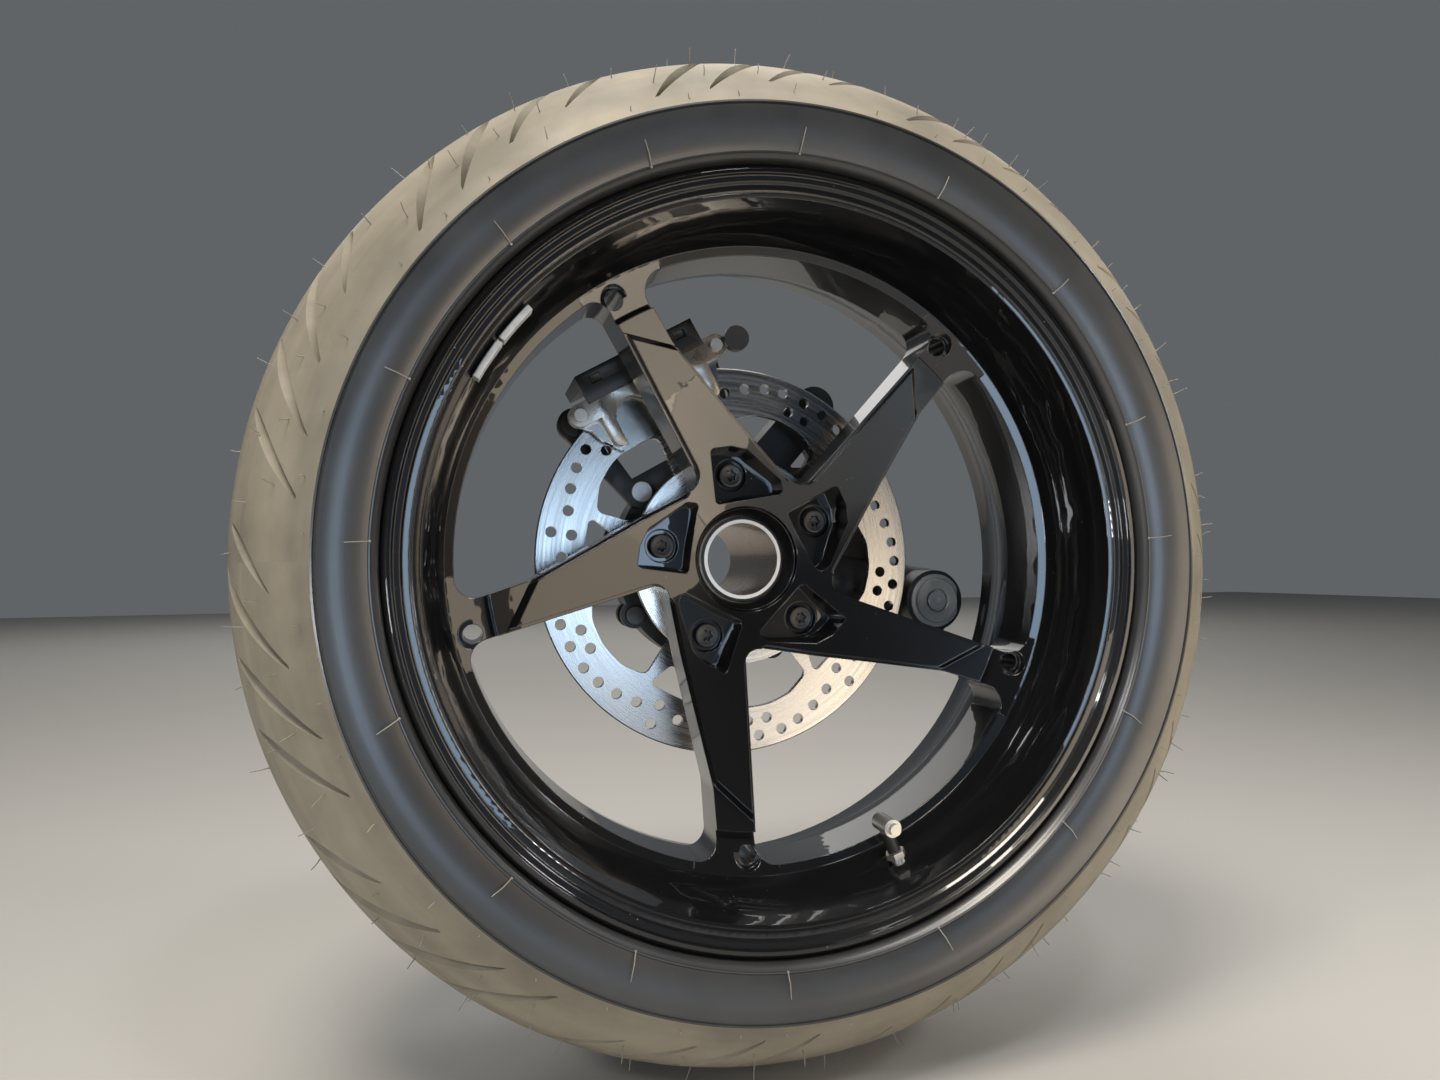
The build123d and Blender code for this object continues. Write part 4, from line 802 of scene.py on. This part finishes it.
def rounded(corners):
    """A closed outline from corners, each with its place and its radius."""
    points = []
    for number, (x, y, radius) in enumerate(corners):
        here = Vector((x, y))
        before = Vector(corners[number - 1][:2])
        after = Vector(corners[(number + 1) % len(corners)][:2])
        points += corner_arc(before, here, after, radius) if radius else [here]
    return points


def grown(points, amount):
    """A closed outline, anticlockwise, moved outward by an amount."""
    moved = []
    for number, point in enumerate(points):
        along = points[(number + 1) % len(points)] - points[number - 1]
        moved.append(point + Vector((along.y, -along.x)).normalized() * amount)
    return moved


def turned(point, angle):
    """A flat point turned about the axle by degrees."""
    return Matrix.Rotation(math.radians(angle), 2) @ Vector(point)


def face_y(radius):
    """Where the spokes' front faces lie at a radius."""
    return FACE_Y + FACE_SLOPE * (radius - FACE_RADIUS)


def spaced(first, last, steps):
    """Evenly spaced values, with both ends."""
    return [first + (last - first) * step / steps for step in range(steps + 1)]


def arc(middle, radius, angles):
    """Flat points around a middle."""
    return [middle + Vector((math.cos(angle), math.sin(angle))) * radius for angle in angles]


def window_outline():
    """The outline of one window, on the ray of the spoke that leads it."""
    edge = BARREL_RADIUS - WINDOW_LIP
    far = edge - BARREL_FILLET
    low = Vector((math.sqrt(far**2 - BARREL_FILLET**2), BARREL_FILLET))
    knee, reach = Vector(TRAILING[2][:2]), Vector(TRAILING_REACH)
    slope = (reach - knee).normalized()
    inward = Vector((slope.y, -slope.x))
    start = knee + inward * BARREL_FILLET
    along = -start.dot(slope) + math.sqrt(start.dot(slope) ** 2 - start.length_squared + far**2)
    high = turned(start + slope * along, PITCH)
    inward = turned(inward, PITCH)
    beyond = ((2 * edge, 0.0, 0.0), (*turned((2 * edge, CROTCH_AIM), PITCH), 0.0))
    crotch = rounded([CROTCH[0], *beyond])[:CORNER_STEPS + 1]
    low_angle, high_angle = math.atan2(low.y, low.x), math.atan2(high.y, high.x)
    end_angle = math.atan2(-inward.y, -inward.x)
    low_arc = arc(low, BARREL_FILLET, spaced(-math.pi / 2, low_angle, FILLET_STEPS))
    rim_arc = arc(Vector((0.0, 0.0)), edge, spaced(low_angle, high_angle, RIM_ARC_STEPS)[1:-1])
    high_arc = arc(high, BARREL_FILLET, spaced(high_angle, end_angle, FILLET_STEPS))
    corners = [(*high_arc[-1], 0.0)]
    corners += [(*turned((x, y), PITCH), radius) for x, y, radius in reversed(TRAILING)]
    corners += [CROTCH[1], (*crotch[0], 0.0)]
    return crotch + low_arc + rim_arc + high_arc + rounded(corners)[1:-1]


def outward_mesh(name, shape):
    """A mesh of a shape's closed forms, with every face turned outward."""
    mesh = bpy.data.meshes.new(name)
    mesh.from_pydata(shape.points, [], shape.faces)
    shell = bmesh.new()
    shell.from_mesh(mesh)
    bmesh.ops.recalc_face_normals(shell, faces=shell.faces)
    shell.to_mesh(mesh)
    shell.free()
    return mesh


def lathe(section):
    """A closed ring turned around the wheel's axle, from (radius, y) points."""
    shape = Shape()
    turns = [360.0 * step / LATHE_STEPS for step in range(LATHE_STEPS)]
    shape.loft([[around(radius, turn, y) for turn in turns] for radius, y in section], closed=True)
    return shape


def seat_cutter():
    """Cuts for the sloped seat around the hole at each spoke's outer end."""
    shape = Shape()
    web = [face_y(radius) + WEB_STEP for radius in SEAT_RADII]
    section = (
        (SEAT_RADII[0] - CUT_MARGIN, web[0] - CUT_MARGIN), (SEAT_RADII[0], web[0] + SEAT_DROP),
        (SEAT_RADII[1], web[1]), (SEAT_RADII[1], CLEAR_Y), (SEAT_RADII[0] - CUT_MARGIN, CLEAR_Y),
    )
    for spoke in range(SPOKES):
        turns = [SPOKE_ANGLE + PITCH * spoke + turn for turn in spaced(*SEAT_SECTOR, SEAT_STEPS)]
        rings = [[around(radius, turn, y) for radius, y in section] for turn in turns]
        shape.loft(rings, ends=(True, True))
    return shape


def ledge_cutter():
    """Cuts that leave a narrow ledge between each window and the raised spokes."""
    shape = Shape()
    outline = window_outline()
    outer, inner = grown(outline, LEDGE), grown(outline, -CUT_MARGIN)
    for spoke in range(SPOKES):
        turn = SPOKE_ANGLE + PITCH * spoke
        rings = []
        for points, sunk in ((inner, False), (outer, False), (outer, True), (inner, True)):
            ring_points = []
            for point in points:
                spot = turned(point, turn)
                y = face_y(spot.length) + WEB_STEP - LEDGE_RISE if sunk else CLEAR_Y
                ring_points.append(at(spot.x, spot.y, y))
            rings.append(ring_points)
        shape.loft(rings, closed=True)
    return shape


def pocket_shape():
    """Drafted walls and a floor with a round cup in each bolt's pocket."""
    shape = Shape()
    middle = Vector((BOLT_CIRCLE_RADIUS, 0.0))
    outline = rounded(POCKET)[::-1]
    rays = []
    for step in range(POCKET_RAYS):
        angle = 2 * math.pi * step / POCKET_RAYS
        way = Vector((math.cos(angle), math.sin(angle)))
        for first, last in zip(outline, outline[1:] + outline[:1]):
            hit = geometry.intersect_line_line_2d(middle, middle + way * POCKET_REACH, first, last)
            if hit:
                rays.append((way, (hit - middle).length))
                break
    back = BOLT_SEAT_Y + LINING_DEPTH
    # Each ring of the walls as growth beyond the outline, y, and whether y is from the spokes' faces
    walls = (
        (POCKET_OVERLAP, back, False), (POCKET_OVERLAP, POCKET_MOUTH, True),
        (0.0, POCKET_MOUTH, True), (-POCKET_DRAFT, POCKET_FLOOR_Y, False),
    )
    for bolt in range(BOLTS):
        turn = BOLT_ANGLE + PITCH * bolt
        rings = []
        for grow, y, from_face in walls:
            spots = [turned(middle + way * (far + grow), turn) for way, far in rays]
            depths = [face_y(spot.length) + y if from_face else y for spot in spots]
            rings.append([at(spot.x, spot.y, depth) for spot, depth in zip(spots, depths)])
        for y in (POCKET_FLOOR_Y, back):
            spots = [turned(middle + way * CUP_RADIUS, turn) for way, _ in rays]
            rings.append([at(spot.x, spot.y, y) for spot in spots])
        shape.loft(rings, closed=True)
    return shape


def plain_copy(name, flat_angle=0.0):
    """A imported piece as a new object, its points merged and its stored shading left out."""
    mesh = nodes[name].data.copy()
    for stored in STORED_SHADING:
        if stored in mesh.attributes:
            mesh.attributes.remove(mesh.attributes[stored])
    whole = bmesh.new()
    whole.from_mesh(mesh)
    bmesh.ops.remove_doubles(whole, verts=whole.verts, dist=MERGE_DISTANCE)
    if flat_angle:
        limit = math.radians(flat_angle)
        bmesh.ops.dissolve_limit(whole, angle_limit=limit, verts=whole.verts, edges=whole.edges)
    whole.to_mesh(mesh)
    whole.free()
    return link(bpy.data.objects.new(name + "_dressed", mesh))


def bake_modifiers(made):
    """The result of an object's modifiers, kept as its mesh."""
    bpy.context.view_layer.update()
    shown = made.evaluated_get(bpy.context.evaluated_depsgraph_get())
    made.data = bpy.data.meshes.new_from_object(shown)
    made.modifiers.clear()


def build_rim():
    """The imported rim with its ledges, spoke-end seats and lip steps cut, and its pockets lined."""
    far_steps = [*LIP_STEPS, (LIP_STEPS[-1][0], LIP_CLEAR_Y), (LIP_STEPS[0][0], LIP_CLEAR_Y)]
    near_steps = [(radius, -y) for radius, y in far_steps]
    made = plain_copy("rim")
    shapes = (ledge_cutter(), seat_cutter(), lathe(near_steps), lathe(far_steps))
    cutters = [link(bpy.data.objects.new("cutter", outward_mesh("cutter", shape))) for shape in shapes]
    for tool in cutters:
        cut = made.modifiers.new("cut", "BOOLEAN")
        cut.operation = "DIFFERENCE"
        cut.solver = "EXACT"
        cut.object = tool
    bake_modifiers(made)
    for tool in cutters:
        bpy.data.objects.remove(tool)
    shell = bmesh.new()
    shell.from_mesh(made.data)
    shell.from_mesh(outward_mesh("lining", pocket_shape()))
    shell.to_mesh(made.data)
    shell.free()
    shade(made.data, RIM_SHARP)
    weighted = made.modifiers.new("weighted", "WEIGHTED_NORMAL")
    weighted.keep_sharp = True
    bake_modifiers(made)
    repaint(made, paints["rim"])
    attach(made, "wheel")
    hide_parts("rim")


build_rim()


def soften(name, width):
    """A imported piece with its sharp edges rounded, as castings and mouldings have them."""
    made = plain_copy(name, FLAT_ANGLE)
    rounding = made.modifiers.new("rounding", "BEVEL")
    rounding.width = width * MM
    rounding.segments = ROUNDING_STEPS
    rounding.limit_method = "ANGLE"
    rounding.angle_limit = math.radians(ROUNDED_FROM)
    rounding.use_clamp_overlap = True
    bake_modifiers(made)
    shade(made.data, SOFTENED_SHARP)
    repaint(made, paints[slot_of[name]])
    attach(made, "drive_unit")
    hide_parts(name)


for name, width in SOFTENED.items():
    soften(name, width)

wheel_bolts = Shape()
for bolt in range(BOLTS):
    seat = around(BOLT_CIRCLE_RADIUS, BOLT_ANGLE + 360.0 / BOLTS * bolt, BOLT_SEAT_Y)
    socket_bolt(wheel_bolts, facing(seat, NEAR) @ Matrix.Rotation(BOLT_TWIST * bolt, 4, "Z"))
bolt_paints = [paints["bolt_black"]]
wheel_bolts.make("wheel_bolts_dressed", "wheel", "dark_steel", bolt_paints, "wheel_bolts", BOLT_SHARP)

for name, node in nodes.items():
    if name not in ("tyre", "wheel_bolts", "rim", *SOFTENED):
        shade(node.data, PIECE_SHARP)

# Floor under the tyre, with its size in metres
FLOOR_SIZE = 14.0
bpy.ops.mesh.primitive_plane_add(size=FLOOR_SIZE, location=(AXLE_X, WHEEL_Y, tyre_low.z))
floor = bpy.context.object
floor.name = "floor"
floor_paint = Material("floor_paint", (0.47, 0.455, 0.43), 0.7)
floor.data.materials.append(floor_paint.data)


def area(name, place, aim, size, power, colour):
    """A soft lamp; places are on the wheel's frame as x, z, y."""
    data = bpy.data.lights.new(name, "AREA")
    data.shape = "RECTANGLE"
    data.size, data.size_y = size
    data.energy = power
    data.color = colour
    lamp = link(bpy.data.objects.new(name, data))
    lamp.location = at(*place)
    lamp.rotation_euler = (at(*aim) - at(*place)).to_track_quat("-Z", "Y").to_euler()
    lamp.visible_camera = False


# Lamps: name, place, aim, width and height in metres, watts, colour
MIDDLE = (0.0, 0.0, 0.0)
WARM = (1.0, 0.83, 0.64)
LAMPS = (
    ("key", (-560.0, 1750.0, -700.0), (-60.0, 60.0, 0.0), (0.7, 0.7), 34.0, (1.0, 0.93, 0.82)),
    ("overhead", (200.0, 2000.0, 500.0), MIDDLE, (1.2, 1.2), 12.0, (1.0, 0.97, 0.93)),
    ("cool_front", (100.0, -30.0, -1568.0), MIDDLE, (0.34, 0.40), 2.5, (0.55, 0.75, 1.0)),
    ("warm_low", (632.0, -188.0, -797.0), (-88.0, -188.0, -7.0), (0.53, 0.258), 1.3, (1.0, 0.83, 0.63)),
    ("warm_high", (694.0, 71.0, -741.0), (-26.0, 71.0, 49.0), (0.353, 0.26), 0.72, WARM),
    ("warm_floor", (470.0, -317.0, -717.0), (470.0, 0.0, -717.0), (0.44, 0.414), 1.7, WARM),
    ("right", (1500.0, 500.0, -700.0), MIDDLE, (0.3, 0.9), 5.0, (1.0, 0.95, 0.88)),
    ("far_floor", (300.0, 2300.0, 3600.0), (300.0, -320.0, 3200.0), (5.0, 3.0), 60.0, (1.0, 0.98, 0.95)),
)
for lamp in LAMPS:
    area(*lamp)
# Small lamps for the glints along the lip
GLINTS = (
    (-1350.0, 820.0, -860.0), (-1080.0, -160.0, -1420.0), (1440.0, 900.0, -640.0), (200.0, 1540.0, -880.0),
)
for number, place in enumerate(GLINTS):
    area("glint_" + str(number), place, MIDDLE, (0.2, 0.2), 5.5, (0.95, 0.97, 1.0))

# World: dim on the near side and brighter behind the wheel
WORLD_COLOUR = (0.85, 0.91, 0.97, 1.0)
WORLD_SHADE = {"From Min": -0.5, "From Max": 0.5, "To Min": 0.025, "To Max": 0.14}
world = bpy.data.worlds.new("studio")
bpy.context.scene.world = world
world.use_nodes = True
tree = world.node_tree
background = tree.nodes["Background"]
background.inputs["Color"].default_value = WORLD_COLOUR
direction = tree.nodes.new("ShaderNodeSeparateXYZ")
tree.links.new(tree.nodes.new("ShaderNodeTexCoord").outputs["Generated"], direction.inputs[0])
strength = tree.nodes.new("ShaderNodeMapRange")
tree.links.new(direction.outputs[1], strength.inputs["Value"])
for key, value in WORLD_SHADE.items():
    strength.inputs[key].default_value = value
tree.links.new(strength.outputs[0], background.inputs["Strength"])
